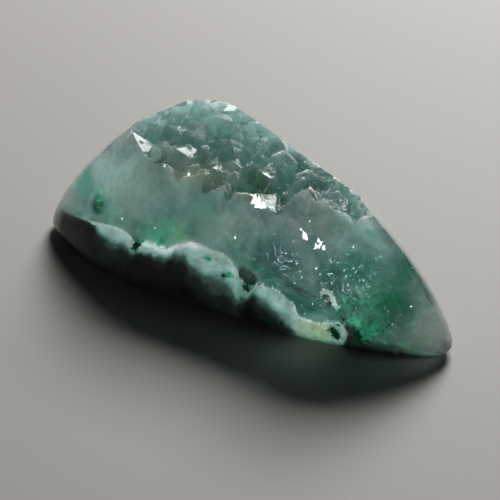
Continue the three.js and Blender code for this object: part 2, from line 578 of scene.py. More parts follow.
def quartz_seeds(name, shapes):
    """One vertex for each quartz point, with its size and turn as attributes."""
    places, sizes, turns = [], [], []
    row_step = POINT_SPACING * math.sqrt(3) / 2
    shake = POINT_SHAKE * POINT_SPACING
    index = row = 0
    while POINT_FRONT + row * row_step < POINT_BACK:
        start = POINT_LEFT + (row % 2) * POINT_SPACING / 2
        column = 0
        while start + column * POINT_SPACING < POINT_RIGHT:
            x = start + column * POINT_SPACING + shake * (scatter(index, 1) - 0.5)
            y = POINT_FRONT + row * row_step + shake * (scatter(index, 2) - 0.5)
            index += 1
            column += 1
            if beside_flash(x, y):
                continue
            radius = mix(POINT_RADIUS_MIN, POINT_RADIUS_MAX, scatter(index, 3) ** POINT_SIZE_BIAS)
            shoulder = POINT_UNEVENNESS * (scatter(index, 4) - 0.5) - POINT_SINK * radius
            shape = shapes[len(places) % len(shapes)]
            turn = turned_away(shape, Vector((x, y, DRUZY_HEIGHT)), index)
            places.append(Vector((x, y, druzy_height(x, y))) + turn @ Vector((0, 0, shoulder)))
            sizes.append(radius * MM)
            turns.append(turn.to_euler())
        row += 1
    for place, radius in FLASHES:
        origin, turn = flash_seed(shapes[len(places) % len(shapes)], place, radius)
        places.append(origin)
        sizes.append(radius * MM)
        turns.append(turn.to_euler())
    seeds = mesh_object(name, places, [])
    mark(seeds, "size", "FLOAT", sizes)
    mark(seeds, "turn", "FLOAT_VECTOR", turns)
    return seeds


def beside_flash(x, y):
    """Whether a place lies too close to a large point that flashes."""
    here = Vector((x, y))
    return any((Vector(place).xy - here).length < FLASH_CLEARING * radius for place, radius in FLASHES)


def boolean(nodes, operation, first, second):
    """A mesh made of two others, given as (node, output) pairs."""
    node = nodes.add("GeometryNodeMeshBoolean", {"operation": operation, "solver": "MANIFOLD"})
    nodes.feed(node, {1: first})
    nodes.feed(node, {1: second})
    return node, "Mesh"


def druzy_tree():
    """Grows large and fine quartz points on the skin and trims them to the polished form."""
    tree, nodes = geometry_tree("Druzy Growth", (
        ("Polished Form", "NodeSocketObject"),
        ("Seeds", "NodeSocketObject"),
        ("Quartz Points", "NodeSocketCollection"),
        ("Fine Spacing", "NodeSocketFloat"),
        ("Fine Size", "NodeSocketFloat"),
        ("Fine Seed", "NodeSocketInt"),
        ("Material", "NodeSocketMaterial"),
    ))
    source = nodes.add("NodeGroupInput")
    form = nodes.add("GeometryNodeObjectInfo", None, {"Object": (source, "Polished Form")})
    seeds = nodes.add("GeometryNodeObjectInfo", None, {"Object": (source, "Seeds")})
    shapes = nodes.add("GeometryNodeCollectionInfo", None, {
        "Collection": (source, "Quartz Points"), "Separate Children": True, "Reset Children": True,
    })
    size = nodes.add("GeometryNodeInputNamedAttribute", {"data_type": "FLOAT"}, {"Name": "size"})
    turn = nodes.add("GeometryNodeInputNamedAttribute", {"data_type": "FLOAT_VECTOR"}, {"Name": "turn"})
    large = nodes.add("GeometryNodeInstanceOnPoints", None, {
        "Points": (seeds, "Geometry"), "Instance": (shapes, "Instances"), "Pick Instance": True,
        "Rotation": (turn, "Attribute"), "Scale": (size, "Attribute"),
    })
    coarse = boolean(nodes, "UNION", (source, "Geometry"), (large, "Instances"))

    spread = nodes.add("GeometryNodeDistributePointsOnFaces", {"distribute_method": "POISSON"}, {
        "Mesh": coarse, "Distance Min": (source, "Fine Spacing"),
        "Density Max": FINE_DENSITY, "Seed": (source, "Fine Seed"),
    })
    sway = nodes.add("FunctionNodeRandomValue", {"data_type": "FLOAT_VECTOR"}, {
        "Min": -FINE_SWAY, "Max": FINE_SWAY, "Seed": (source, "Fine Seed"),
    })
    turned = nodes.add("FunctionNodeRotateRotation", {"rotation_space": "LOCAL"}, {
        "Rotation": (spread, "Rotation"), "Rotate By": (sway, 0),
    })
    vary = nodes.add("FunctionNodeRandomValue", {"data_type": "FLOAT"}, {
        2: FINE_SMALLEST, 3: 1.0, "Seed": (source, "Fine Seed"),
    })
    fine_size = nodes.math("MULTIPLY", (vary, 1), (source, "Fine Size"))
    fine = nodes.add("GeometryNodeInstanceOnPoints", None, {
        "Points": (spread, "Points"), "Instance": (shapes, "Instances"), "Pick Instance": True,
        "Rotation": (turned, "Rotation"), "Scale": fine_size,
    })
    whole = boolean(nodes, "UNION", coarse, (fine, "Instances"))

    grown = nodes.add("GeometryNodeStoreNamedAttribute", {"data_type": "FLOAT", "domain": "FACE"}, {
        "Geometry": whole, "Name": "druzy", "Value": 1.0,
    })
    trimmed = boolean(nodes, "INTERSECT", (grown, "Geometry"), (form, "Geometry"))
    real = nodes.add("GeometryNodeRealizeInstances", None, {"Geometry": trimmed})
    dressed = nodes.add("GeometryNodeSetMaterial", None, {
        "Geometry": (real, "Geometry"), "Material": (source, "Material"),
    })
    nodes.add("NodeGroupOutput", None, {"Geometry": (dressed, "Geometry")})
    return tree


# Patches of another tint in the stone: centre and reach in millimetres, colour,
# and how clear the stone is there. Later ones lie over earlier ones.
TINT_PATCHES = (
    ((-5.5, 7.5, 3.5), 7.2, (0.42, 0.74, 0.66), 0.66),
    ((4.5, 4.5, 3.0), 6.2, (0.36, 0.7, 0.61), 0.66),
    ((-12.8, 1.8, 2.5), 5.2, (0.5, 0.78, 0.7), 0.6),
    ((10.6, 1.0, 2.0), 4.2, (0.2, 0.5, 0.38), 0.7),
    ((-7.7, -4.6, 5.0), 2.9, (0.82, 1.0, 0.94), 0.34),
    ((-10.2, -4.1, 3.9), 1.4, (0.36, 0.76, 0.6), 0.74),
    ((-5.0, -4.2, 6.0), 2.2, (0.74, 0.8, 0.76), 0.6),
    ((-1.7, -5.3, 5.0), 1.6, (0.5, 0.66, 0.6), 0.74),
    ((0.2, -5.4, 5.0), 1.6, (0.9, 1.0, 0.96), 0.62),
    ((3.3, -5.7, 4.3), 1.9, (0.26, 0.38, 0.42), 0.74),
    ((5.8, -5.0, 5.7), 1.9, (0.74, 0.94, 0.9), 0.64),
    ((7.0, -4.6, 6.6), 1.4, (0.55, 0.74, 0.7), 0.66),
    ((7.9, -4.9, 4.8), 1.9, (0.3, 0.58, 0.52), 0.74),
    ((9.5, -5.4, 2.9), 2.3, (0.07, 0.25, 0.18), 0.74),
    ((8.2, -4.5, 6.1), 1.6, (0.33, 0.47, 0.44), 0.68),
    ((10.2, -4.4, 4.7), 2.0, (0.09, 0.27, 0.21), 0.74),
    ((7.6, -6.0, 2.9), 1.5, (0.2, 0.4, 0.33), 0.74),
    ((4.2, -6.2, 2.7), 1.3, (0.26, 0.46, 0.42), 0.74),
    ((11.9, -4.7, 1.3), 2.0, (0.8, 0.87, 0.78), 0.55),
    ((-4.3, -5.9, 3.9), 1.7, (0.66, 0.9, 0.76), 0.68),
    ((-2.9, -5.8, 3.9), 0.9, (0.84, 0.84, 0.6), 0.66),
    ((-2.6, -3.9, 6.9), 1.6, (0.58, 0.66, 0.44), 0.7),
    ((0.8, -3.8, 7.0), 1.5, (0.56, 0.62, 0.4), 0.7),
    ((-11.6, -4.6, 1.8), 1.9, (0.6, 0.76, 0.7), 0.4),
    ((-10.0, -5.2, 2.2), 0.9, (0.3, 0.5, 0.44), 0.85),
    ((-8.7, -5.2, 3.75), 1.0, (0.07, 0.44, 0.22), 0.95),
    ((-5.45, -6.1, 2.7), 0.45, (0.03, 0.3, 0.14), 0.97),
    ((-3.9, -6.0, 3.2), 0.35, (0.05, 0.44, 0.26), 0.74),
    ((7.0, -6.4, 1.0), 0.6, (0.08, 0.6, 0.38), 0.97),
    ((8.5, -6.2, 1.15), 0.75, (0.05, 0.36, 0.24), 0.95),
    ((-4.2, 4.0, 7.6), 3.4, (0.4, 0.5, 0.47), 0.6),
    ((1.2, 2.2, 7.8), 3.4, (0.34, 0.45, 0.42), 0.6),
    ((4.4, -1.6, 7.4), 3.6, (0.34, 0.47, 0.44), 0.6),
    ((7.6, -2.4, 6.3), 2.4, (0.34, 0.47, 0.44), 0.6),
    ((3.8, -3.1, 7.4), 0.7, (0.08, 0.13, 0.11), 0.74),
    ((2.3, -0.3, 7.4), 1.8, (0.15, 0.23, 0.21), 0.66),
    ((8.6, -3.4, 6.2), 1.3, (0.28, 0.4, 0.37), 0.74),
    ((9.9, -3.4, 4.9), 1.7, (0.13, 0.29, 0.24), 0.74),
    ((11.1, -3.8, 3.7), 1.4, (0.28, 0.42, 0.36), 0.74),
    ((3.0, -6.2, 3.1), 0.9, (0.14, 0.34, 0.28), 0.74),
    ((6.4, -5.8, 3.9), 1.5, (0.22, 0.38, 0.34), 0.74),
    ((7.2, -6.1, 2.2), 0.9, (0.1, 0.3, 0.22), 0.74),
    ((9.1, -5.9, 1.8), 0.9, (0.04, 0.2, 0.14), 0.74),
)

# Painted light in the milk, a glow where the window's light would gather: centre, reach and colour of its
# glow.
PAINTED_MILK_GLOW = (
    ((-7.9, -4.6, 5.2), 3.0, (0.055, 0.115, 0.1)),
    ((-10.2, -4.1, 3.4), 1.6, (0.02, 0.07, 0.06)),
    ((-6.3, -5.2, 4.7), 2.3, (0.04, 0.05, 0.044)),
    ((-1.1, -5.4, 4.9), 1.9, (0.07, 0.082, 0.072)),
    ((3.7, -5.4, 5.5), 1.7, (0.045, 0.052, 0.056)),
    ((7.2, -5.0, 5.8), 1.4, (0.048, 0.058, 0.055)),
    ((-3.3, -4.1, 6.8), 1.7, (0.075, 0.08, 0.07)),
    ((2.1, -3.9, 7.4), 1.4, (0.06, 0.066, 0.06)),
    ((-1.4, -3.7, 7.1), 1.7, (0.045, 0.05, 0.04)),
    ((-5.1, -3.2, 7.3), 1.4, (0.045, 0.05, 0.045)),
)

# Noise in the stone: features in each millimetre, detail and roughness.
DRIFT_NOISE = (0.45, 3.0, 0.55)
CLOUD_NOISE = (0.5, 6.0, 0.62)
FIBRE_NOISE = (2.2, 4.0, 0.6)
MOTTLE_NOISE = (1.9, 8.0, 0.72)
ETCH_NOISE = (2.6, 5.0, 0.6)
# What numbers are turned into: from where to where, and what they become.
CLOUD_SPAN = (0.36, 0.64, 0.3, 0.7)
MOTTLE_SPAN = (0.38, 0.6, 0.74, 1.13)

# The milk: how far its clouds drift, how its fibres are drawn out and how much
# they show, how much clearer and milkier than the whole its clouds are, and
# how light spreads in it.
CLOUD_DRIFT = 2.4
FIBRE_STRETCH = (1.0, 1.0, 0.12)
FIBRE_SHARE = 0.42
CLEARER, MILKIER = 0.1, 0.12
MILK_RADIUS = (1.4, 1.7, 1.6)
MILK_DEPTH = 9.0
# Patches wider than this drift with the milk.
DRIFTING_REACH = 1

# The clear foot of the wall: the heights and the places along the stone over
# which it fades in, the place beyond which its top falls by a share of the
# way, and the places over which its polish goes over into a duller finish.
FOOT_TOP = (3.4, 2.2)
FOOT_NARROW_END = (9.0, 6.5)
FOOT_BROAD_END = (-12.4, -11.3)
FOOT_FALLS_BEYOND = -9.0
FOOT_FALL = 0.33
FOOT_DULLS = (-5.9, -6.6)

# The surface: how much quartz bends light, and how strong its shine is inside
# and on the wall, the foot and the druzy.
QUARTZ_IOR = 1.54
INNER_SHINE = (0.08, 0.08, 0.08)
WALL_COAT, FOOT_COAT, DRUZY_COAT = 1.0, 0.06, 0.25
COAT_ROUGHNESS = 0.03
# The wall has this roughness from the first clearness up, and all of its milk's
# roughness from the second one down.
CLEAR_ROUGHNESS = 0.09
CLEAR_FROM, MILKY_FROM = 0.9, 0.5


def silica_clouds(nodes, place):
    """Places that drift with the milk, and the strength of its clouds there."""
    drift, _ = nodes.noise(place, *DRIFT_NOISE)
    centred = nodes.add("ShaderNodeVectorMath", {"operation": "SUBTRACT"}, {
        0: (drift, "Color"), 1: (0.5, 0.5, 0.5),
    })
    moved = nodes.add("ShaderNodeVectorMath", {"operation": "MULTIPLY_ADD"}, {
        0: (centred, "Vector"), 1: (CLOUD_DRIFT * MM,) * 3, 2: place,
    })
    drifting = moved, "Vector"
    upright = nodes.add("ShaderNodeMapping", None, {"Vector": drifting, "Scale": FIBRE_STRETCH})
    billows = nodes.noise(drifting, *CLOUD_NOISE)
    fibres = nodes.noise((upright, "Vector"), *FIBRE_NOISE)
    return drifting, nodes.span(nodes.mixed(FIBRE_SHARE, billows, fibres), *CLOUD_SPAN)


def silica_tints(nodes, place, drifting, clouds, settings):
    """The colour of the stone and how clear it is, with every patch laid over."""
    colour = nodes.ramp(clouds, ((0.3, settings.deep_colour), (0.7, settings.body_colour)))
    clear = nodes.span(clouds, 0.35, 0.65, settings.clearness + CLEARER, settings.clearness - MILKIER)
    for centre, reach, tint, clearness in TINT_PATCHES:
        share = nodes.patch(drifting if reach > DRIFTING_REACH else place, centre, reach)
        colour = nodes.blend(share, colour, tint)
        clear = nodes.mixed(share, clear, clearness)
    mottle = nodes.span(nodes.noise(drifting, *MOTTLE_NOISE), *MOTTLE_SPAN)
    return nodes.dimmed(colour, mottle), clear


def clear_foot(nodes, along, height):
    """How far a place belongs to the clear foot of the wall, from 0 to 1."""
    beyond = nodes.math("MINIMUM", nodes.math("ADD", along, -FOOT_FALLS_BEYOND * MM), 0.0)
    raised = nodes.math("SUBTRACT", height, nodes.math("MULTIPLY", beyond, FOOT_FALL))
    low = nodes.math("MULTIPLY", nodes.fade(raised, *FOOT_TOP), nodes.fade(along, *FOOT_NARROW_END))
    return nodes.math("MULTIPLY", low, nodes.fade(along, *FOOT_BROAD_END))


def painted_milk_glow(nodes, drifting):
    """The painted light that glows in the milk, where the window's light would gather."""
    glow = (0.0, 0.0, 0.0)
    for centre, reach, tint in PAINTED_MILK_GLOW:
        glow = nodes.blend(nodes.patch(drifting, centre, reach), glow, tint)
    return glow


def silica_roughness(nodes, druzy, foot, along, clear, settings):
    """The milkier the wall, the more it blurs; the foot and the druzy have their own finish."""
    wall = nodes.span(clear, CLEAR_FROM, MILKY_FROM, CLEAR_ROUGHNESS, settings.milk_roughness)
    start, end = (place * MM for place in FOOT_DULLS)
    polish = nodes.span(along, start, end, settings.polish_roughness, settings.foot_roughness, smooth=True)
    return nodes.mixed(druzy, nodes.mixed(foot, wall, polish), settings.druzy_roughness)


def gem_silica_material(settings):
    """Milky green chalcedony: clear and tinted inside, glossy on its polished walls."""
    material, nodes, shader = new_material("gem silica")
    place = nodes.add("ShaderNodeTexCoord"), "Object"
    axes = nodes.add("ShaderNodeSeparateXYZ", None, {"Vector": place})
    druzy = nodes.attribute("druzy")
    drifting, clouds = silica_clouds(nodes, place)
    colour, milky = silica_tints(nodes, place, drifting, clouds, settings)
    foot = clear_foot(nodes, (axes, "X"), (axes, "Z"))
    clear = nodes.mixed(foot, nodes.mixed(druzy, milky, settings.druzy_clearness), 1.0)
    grain = nodes.noise(place, *ETCH_NOISE)
    etched = nodes.add("ShaderNodeBump", None, {
        "Strength": druzy, "Distance": settings.druzy_etch, "Height": grain,
    })
    nodes.feed(shader, {
        "Base Color": nodes.blend(druzy, colour, settings.druzy_tint, "MULTIPLY"),
        "Transmission Weight": clear,
        "IOR": QUARTZ_IOR,
        "Specular Tint": INNER_SHINE,
        "Subsurface Weight": 1.0,
        "Subsurface Radius": MILK_RADIUS,
        "Subsurface Scale": MILK_DEPTH * MM,
        # Painted light: the milk glows in patches, though it is no lamp.
        "Emission Color": painted_milk_glow(nodes, drifting),
        "Emission Strength": 1.0,
        "Roughness": silica_roughness(nodes, druzy, foot, (axes, "X"), clear, settings),
        "Coat Weight": nodes.mixed(druzy, nodes.mixed(foot, WALL_COAT, FOOT_COAT), DRUZY_COAT),
        "Coat Roughness": COAT_ROUGHNESS,
        "Coat IOR": QUARTZ_IOR,
        "Normal": (etched, "Normal"),
        "Coat Normal": (etched, "Normal"),
    })
    absorb = nodes.add("ShaderNodeVolumeAbsorption", None, {
        "Color": settings.tint_colour, "Density": settings.tint_strength / MM,
    })
    nodes.feed(material.node_tree.nodes["Material Output"], {"Volume": (absorb, "Volume")})
    return material


class GemDruzySettings(bpy.types.PropertyGroup):
    """Sizes, colours and finishes that a user would change."""

    fine_spacing: FloatProperty(
        name="Fine Spacing", description="Least distance between the fine quartz points",
        default=0.8 * MM, min=0.0, subtype="DISTANCE", unit="LENGTH", precision=5,
    )
    fine_size: FloatProperty(
        name="Fine Size", description="Radius of the largest fine quartz point",
        default=0.26 * MM, min=0.0, subtype="DISTANCE", unit="LENGTH", precision=5,
    )
    growth_seed: IntProperty(
        name="Growth Seed", description="Seed of everything that is scattered at random", default=4,
    )
    body_colour: FloatVectorProperty(
        name="Body Colour", description="Colour of the milky part of the stone",
        default=(0.9, 0.96, 0.98), min=0.0, max=1.0, subtype="COLOR",
    )
    deep_colour: FloatVectorProperty(
        name="Deep Colour", description="Colour of the darker clouds in the stone",
        default=(0.62, 0.75, 0.75), min=0.0, max=1.0, subtype="COLOR",
    )
    tint_colour: FloatVectorProperty(
        name="Tint Colour", description="Colour that light takes inside the stone",
        default=(0.32, 0.72, 0.69), min=0.0, max=1.0, subtype="COLOR",
    )
    tint_strength: FloatProperty(
        name="Tint Strength", description="How fast light takes the tint, for each millimetre",
        default=0.09, min=0.0, max=10.0,
    )
    moss_colour: FloatVectorProperty(
        name="Moss Colour", description="Colour of the dark green moss",
        default=(0.012, 0.13, 0.06), min=0.0, max=1.0, subtype="COLOR",
    )
    haze_colour: FloatVectorProperty(
        name="Haze Colour", description="Colour of the fine green haze",
        default=(0.03, 0.36, 0.19), min=0.0, max=1.0, subtype="COLOR",
    )
    bright_colour: FloatVectorProperty(
        name="Bright Green", description="Colour of the bright green at the edges of the moss",
        default=(0.03, 0.42, 0.24), min=0.0, max=1.0, subtype="COLOR",
    )
    heart_colour: FloatVectorProperty(
        name="Heart Colour", description="Colour of the silica layer inside the stone, away from its crest",
        default=(0.8, 0.9, 0.87), min=0.0, max=1.0, subtype="COLOR",
    )
    # Painted light: the glow of the white silica and its tufts stands in for the light that the clear stone
    # lets down onto them.
    layer_glow: FloatProperty(
        name="Layer Glow", description="Light that the clear stone lets down onto the white silica",
        default=0.43, min=0.0, max=2.0,
    )
    needle_colour: FloatVectorProperty(
        name="Needle Colour", description="Colour of the fine green needles",
        default=(0.07, 0.42, 0.28), min=0.0, max=1.0, subtype="COLOR",
    )
    tuft_colour: FloatVectorProperty(
        name="Tuft Colour", description="Colour of the tufts on the white silica",
        default=(0.9, 0.95, 0.95), min=0.0, max=1.0, subtype="COLOR",
    )
    clearness: FloatProperty(
        name="Clearness", description="How see-through the stone is, from milky to clear",
        default=0.66, min=0.0, max=1.0, subtype="FACTOR",
    )
    polish_roughness: FloatProperty(
        name="Polish Roughness", description="Roughness of the polished walls",
        default=0.0, min=0.0, max=1.0, subtype="FACTOR",
    )
    foot_roughness: FloatProperty(
        name="Foot Roughness", description="Roughness of the wall at the foot of the broad end",
        default=0.3, min=0.0, max=1.0, subtype="FACTOR",
    )
    druzy_tint: FloatVectorProperty(
        name="Druzy Tint", description="Tint of the natural quartz points over the body colour",
        default=(0.27, 0.375, 0.35), min=0.0, max=1.0, subtype="COLOR",
    )
    druzy_clearness: FloatProperty(
        name="Druzy Clearness", description="How much light passes through the quartz points",
        default=0.45, min=0.0, max=1.0, subtype="FACTOR",
    )
    druzy_etch: FloatProperty(
        name="Druzy Etching", description="Depth of the fine unevenness of the quartz faces",
        default=0.1 * MM, min=0.0, subtype="DISTANCE", unit="LENGTH", precision=6,
    )
    milk_roughness: FloatProperty(
        name="Milk Roughness", description="How far the milkiest parts of the stone blur what lies in them",
        default=0.18, min=0.0, max=1.0, subtype="FACTOR",
    )
    druzy_roughness: FloatProperty(
        name="Druzy Roughness", description="Roughness of the natural quartz points",
        default=0.14, min=0.0, max=1.0, subtype="FACTOR",
    )


class GEMDRUZY_OT_stone(bpy.types.Operator):
    """Grow the quartz points, trim them with the walls and finish the stone"""

    bl_idname = "gemdruzy.stone"
    bl_label = "Grow the Stone"

    def execute(self, context):
        settings = context.scene.gem_druzy
        material = gem_silica_material(settings)
        shapes = bpy.data.collections.new("quartz point shapes")
        for variant in range(POINT_VARIANTS):
            shape = quartz_point_shape(f"quartz_shape_{variant}", variant)
            shape.data.transform(Matrix.Scale(1 / MM, 4))
            context.scene.collection.objects.unlink(shape)
            shapes.objects.link(shape)
        form = polished_form("polished_form")
        seeds = quartz_seeds("quartz_seeds", list(shapes.objects))
        block = skin_block("skin_block")
        tree = druzy_tree()
        grow(block, tree, {
            "Polished Form": form, "Seeds": seeds, "Quartz Points": shapes,
            "Fine Spacing": settings.fine_spacing, "Fine Size": settings.fine_size,
            "Fine Seed": settings.growth_seed, "Material": material,
        })
        stone = baked(block, "druzy_skin_stone")
        for helper in [form, seeds, *shapes.objects]:
            remove(helper)
        bpy.data.collections.remove(shapes)
        finished(stone, material, DRUZY_EDGE_ANGLE)
        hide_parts(STONE_NODE)
        return {"FINISHED"}


# ---------------------------------------------------------------------------
# The white silica layer
# ---------------------------------------------------------------------------

# The layer's crest along the front wall, as (x, height), with the notches where
# green moss cuts into it, and how far its white reaches down from the crest.
CREST_FRONT = (
    (-12.7, 1.5), (-12.0, 1.8), (-11.4, 1.98), (-10.7, 2.15), (-10.0, 2.38), (-9.2, 2.62),
    (-8.2, 2.8), (-7.2, 2.85), (-6.3, 2.7), (-5.7, 2.35), (-5.2, 2.78), (-3.8, 2.74),
    (-3.1, 3.15), (-2.5, 3.42), (-0.9, 3.55), (-0.2, 3.5), (0.6, 3.0), (1.2, 2.35),
    (1.6, 1.9), (2.1, 2.45), (3.3, 2.5), (4.2, 2.05), (4.9, 1.3), (5.8, 1.2),
    (7.3, 1.5), (8.2, 0.7), (9.5, 0.45), (12.3, 0.3),
)
WHITE_REACH = (
    (-12.9, 0.03), (-10.0, 0.03), (-9.2, 0.16), (-8.6, 0.5), (-7.6, 0.85), (-6.3, 0.6),
    (-5.7, 0.34), (-5.35, 0.34), (-5.15, 0.4), (-3.6, 0.46), (-2.7, 0.6), (-1.9, 0.98),
    (-1.0, 1.3), (-0.1, 1.45), (1.0, 1.12), (1.7, 0.42), (2.4, 0.68), (3.4, 1.1),
    (5.0, 1.4), (7.4, 1.5), (7.9, 0.03), (9.8, 0.03), (10.6, 1.0),
)
# The same for the crest along the back wall and the top of the layer between
# the walls, and how deep behind the wall the layer lies.
CREST_BACK = (
    (-11.6, 0.8), (-9.0, 2.4), (-5.0, 3.2), (-1.5, 2.5),
    (2.5, 2.9), (6.0, 1.6), (8.3, 0.8), (12.3, 0.3),
)
LAYER_HEART = ((-11.0, 0.6), (-7.0, 1.6), (0.0, 1.7), (5.0, 1.1), (8.3, 0.6), (12.3, 0.25))
LAYER_DEPTH = ((-9.0, 0.3), (-6.2, 0.3), (-5.5, 0.07), (12.0, 0.07))
# The tufts on the crest: the places tried all round, their least and largest
# radius, how far in they stray, how much they sway along the crest, and, along
# x, how many of them grow, as a share, and their length.
TUFT_PLACES = 6000
TUFT_RADIUS = (0.03, 0.09)
TUFT_INSET = 0.06
TUFT_SWAY = 0.4
TUFT_SHARE = (
    (-9.2, 0.0), (-8.6, 0.4), (-6.0, 0.3), (-5.7, 0.0), (-5.3, 0.0),
    (-5.15, 0.8), (-3.4, 0.8), (-2.6, 1.0), (-2.0, 1.0), (-1.2, 0.15),
    (1.9, 0.15), (2.2, 0.3), (3.4, 0.15), (7.6, 0.1), (8.0, 0.0),
)
TUFT_LENGTH = (
    (-9.0, 0.06), (-5.6, 0.08), (-5.3, 0.26), (-2.2, 0.24),
    (-1.0, 0.1), (1.2, 0.1), (2.2, 0.16), (3.4, 0.1),
)
# Tints over the white of the layer: centre, reach and colour.
LAYER_PATCHES = (
    ((-11.4, -4.8, 1.8), 2.6, (0.16, 0.26, 0.22)),
    ((5.9, -6.5, 0.7), 1.6, (1.0, 0.98, 0.72)),
    ((-0.6, -6.4, 3.5), 0.7, (0.98, 1.0, 0.86)),
    ((-5.55, -6.35, 2.35), 0.5, (0.08, 0.3, 0.2)),
    ((-0.9, -6.15, 3.1), 0.3, (0.03, 0.6, 0.33)),
    ((0.5, -6.35, 2.6), 0.3, (0.03, 0.58, 0.32)),
    ((0.15, -6.4, 2.45), 0.25, (0.02, 0.26, 0.14)),
    ((1.7, -6.5, 2.1), 1.1, (0.42, 0.6, 0.52)),
)
# The same for the heart of the layer, behind its crest.
HEART_PATCHES = (
    ((8.8, -3.6, 0.6), 3.4, (0.3, 0.6, 0.48)),
    ((4.6, -4.9, 1.6), 2.6, (0.2, 0.42, 0.36)),
)
# The layer is squeezed past the first of these places along the stone, so that
# it ends at the third where the stone ends at the second.
LAYER_TURNS_AT = 10.5
STONE_END = 12.9
LAYER_END = 12.3
LAYER_FLOOR = 0.08
# The crest: where it goes over from the back wall's to the front wall's, from
# the ridge forward, its waves, as features in each millimetre and rise, the
# width over which it gives way to the heart, and how the rows crowd towards it.
CREST_TURN = (-1.0, 1.5)
CREST_WAVES = ((2.3, 0.07), (6.1, 0.05))
CREST_WIDTH = 0.22
CREST_CROWDING = 1.6
# The lumps on the heart, as size and rise, how far they sink in, and where
# they and the slope down to the heart have reached their full height.
LUMPS = ((0.9, 0.16), (0.35, 0.06))
LUMP_ROUNDNESS = 1.25
LUMP_SINK = 0.1
LUMPS_FULL_AT = 0.12
HEART_FULL_AT = 0.55
# The layer has painted light, a glow on its shaded front, where it lies this
# far in front of the ridge, up to this place along the stone.
GLOW_FRONT = (0.0, 2.5)
GLOW_ENDS = (7.6, 8.0)
# Noise in the layer, as in the stone, and what it is turned into.
LIFT_NOISE, LIFT_SPAN = (0.9, 4.0, 0.6), (0.3, 0.7, -0.25, 0.25)
FLECK_NOISE, FLECK_SPAN = (5.5, 3.0, 0.7), (0.58, 0.7, 1.0, 0.55)
SWIRL_NOISE, SWIRL_SPAN = (1.1, 3.0, 0.6), (0.35, 0.65, 0.62, 1.0)
HEART_NOISE = (0.4, 3.0, 0.6)
# The colour from the crest down, the silica's own white, green and brown with
# painted light at the crest and painted shade towards the foot, and the darker
# tint of the heart's clouds.
WHITE_STOPS = (
    (0.0, (0.8, 1.0, 0.95)), (0.2, (0.64, 0.92, 0.85)), (0.32, (0.36, 0.64, 0.56)),
    (0.42, (0.11, 0.21, 0.18)), (0.6, (0.028, 0.038, 0.031)), (1.0, (0.01, 0.011, 0.009)),
)
WHITE_SPREAD = 0.4
HEART_SHADE = (0.5, 0.75, 0.66)


def layer_edge(edge):
    """A girdle place of the layer, which ends short of the stone's narrow point."""
    if edge.x <= LAYER_TURNS_AT:
        return edge.copy()
    squeeze = (LAYER_END - LAYER_TURNS_AT) / (STONE_END - LAYER_TURNS_AT)
    return Vector((LAYER_TURNS_AT + (edge.x - LAYER_TURNS_AT) * squeeze, edge.y, edge.z))


def crest_height(edge):
    """The height of the layer's crest at the wall above a girdle place."""
    front = ease(ridge_above(edge).y - edge.y, *CREST_TURN)
    height = mix(smooth_path(CREST_BACK, edge.x), smooth_path(CREST_FRONT, edge.x), front)
    for cycles, rise in CREST_WAVES:
        height += rise * noise.noise(edge * cycles)
    return height


def botryoidal(place, cell):
    """The height of a skin of small rounded lumps, from 0 to 1."""
    nearest = noise.voronoi(place / cell)[0][0]
    return math.sqrt(max(0.0, 1.0 - min(1.0, nearest * LUMP_ROUNDNESS) ** 2))


def layer_glow(edge):
    """How much of the painted glow on the shaded front a girdle place has, from 0 to 1."""
    return ease(ridge_above(edge).y - edge.y, *GLOW_FRONT) * (1 - ease(edge.x, *GLOW_ENDS))


def heart_place(edge, crest, rim, share):
    """A place on top of the layer, that share of the way from its rim to the ridge."""
    middle = ridge_above(edge)
    place = rim.lerp(Vector((middle.x, middle.y, 0)), share)
    place.z = mix(crest, smooth_path(LAYER_HEART, place.x), ease(share, 0, HEART_FULL_AT))
    lumps = sum(rise * botryoidal(place, cell) for cell, rise in LUMPS)
    place.z += (lumps - LUMP_SINK) * ease(share, 0.0, LUMPS_FULL_AT)
    return place


def white_layer(name, around=720, rows=18, inner_rows=44):
    """The lower part of the stone up to the layer's crest.

    Each place knows how deep it lies under the crest, as a share of the white's
    reach, how far inside the walls it lies and how much painted glow it has, from 0 to 1.
    """
    edges = [layer_edge(edge) for edge in girdle_edges(around)]
    crests = [crest_height(edge) for edge in edges]
    rings, depths, inner = [], [], []
    for row in range(rows):
        share = 1 - (1 - row / (rows - 1)) ** CREST_CROWDING
        heights = [mix(LAYER_FLOOR, crest, share) for crest in crests]
        rings.append([
            wall_at_height(edge, height, smooth_path(LAYER_DEPTH, edge.x))
            for edge, height in zip(edges, heights)
        ])
        depths += [
            (crest - height) / smooth_path(WHITE_REACH, edge.x)
            for edge, crest, height in zip(edges, crests, heights)
        ]
        inner += [0.0] * around
    outline = rings[-1]
    for row in range(1, inner_rows):
        share = row / inner_rows
        ring = [heart_place(edge, crest, rim, share) for edge, crest, rim in zip(edges, crests, outline)]
        rings.append(ring)
        depths += [0.0] * around
        inner += [ease((place - rim).length, 0.0, CREST_WIDTH) for place, rim in zip(ring, outline)]
    glows = [layer_glow(edge) for edge in edges] * len(rings)
    layer = lofted(name, rings)
    # The last two values belong to the middle of the underside and of the top.
    mark(layer, "depth", "FLOAT", [clamp(depth, 0.0, 4.0) for depth in depths + [1.5, 0.0]])
    mark(layer, "inner", "FLOAT", inner + [1.0, 1.0])
    mark(layer, "glow", "FLOAT", glows + [0.0, 0.0])
    return layer


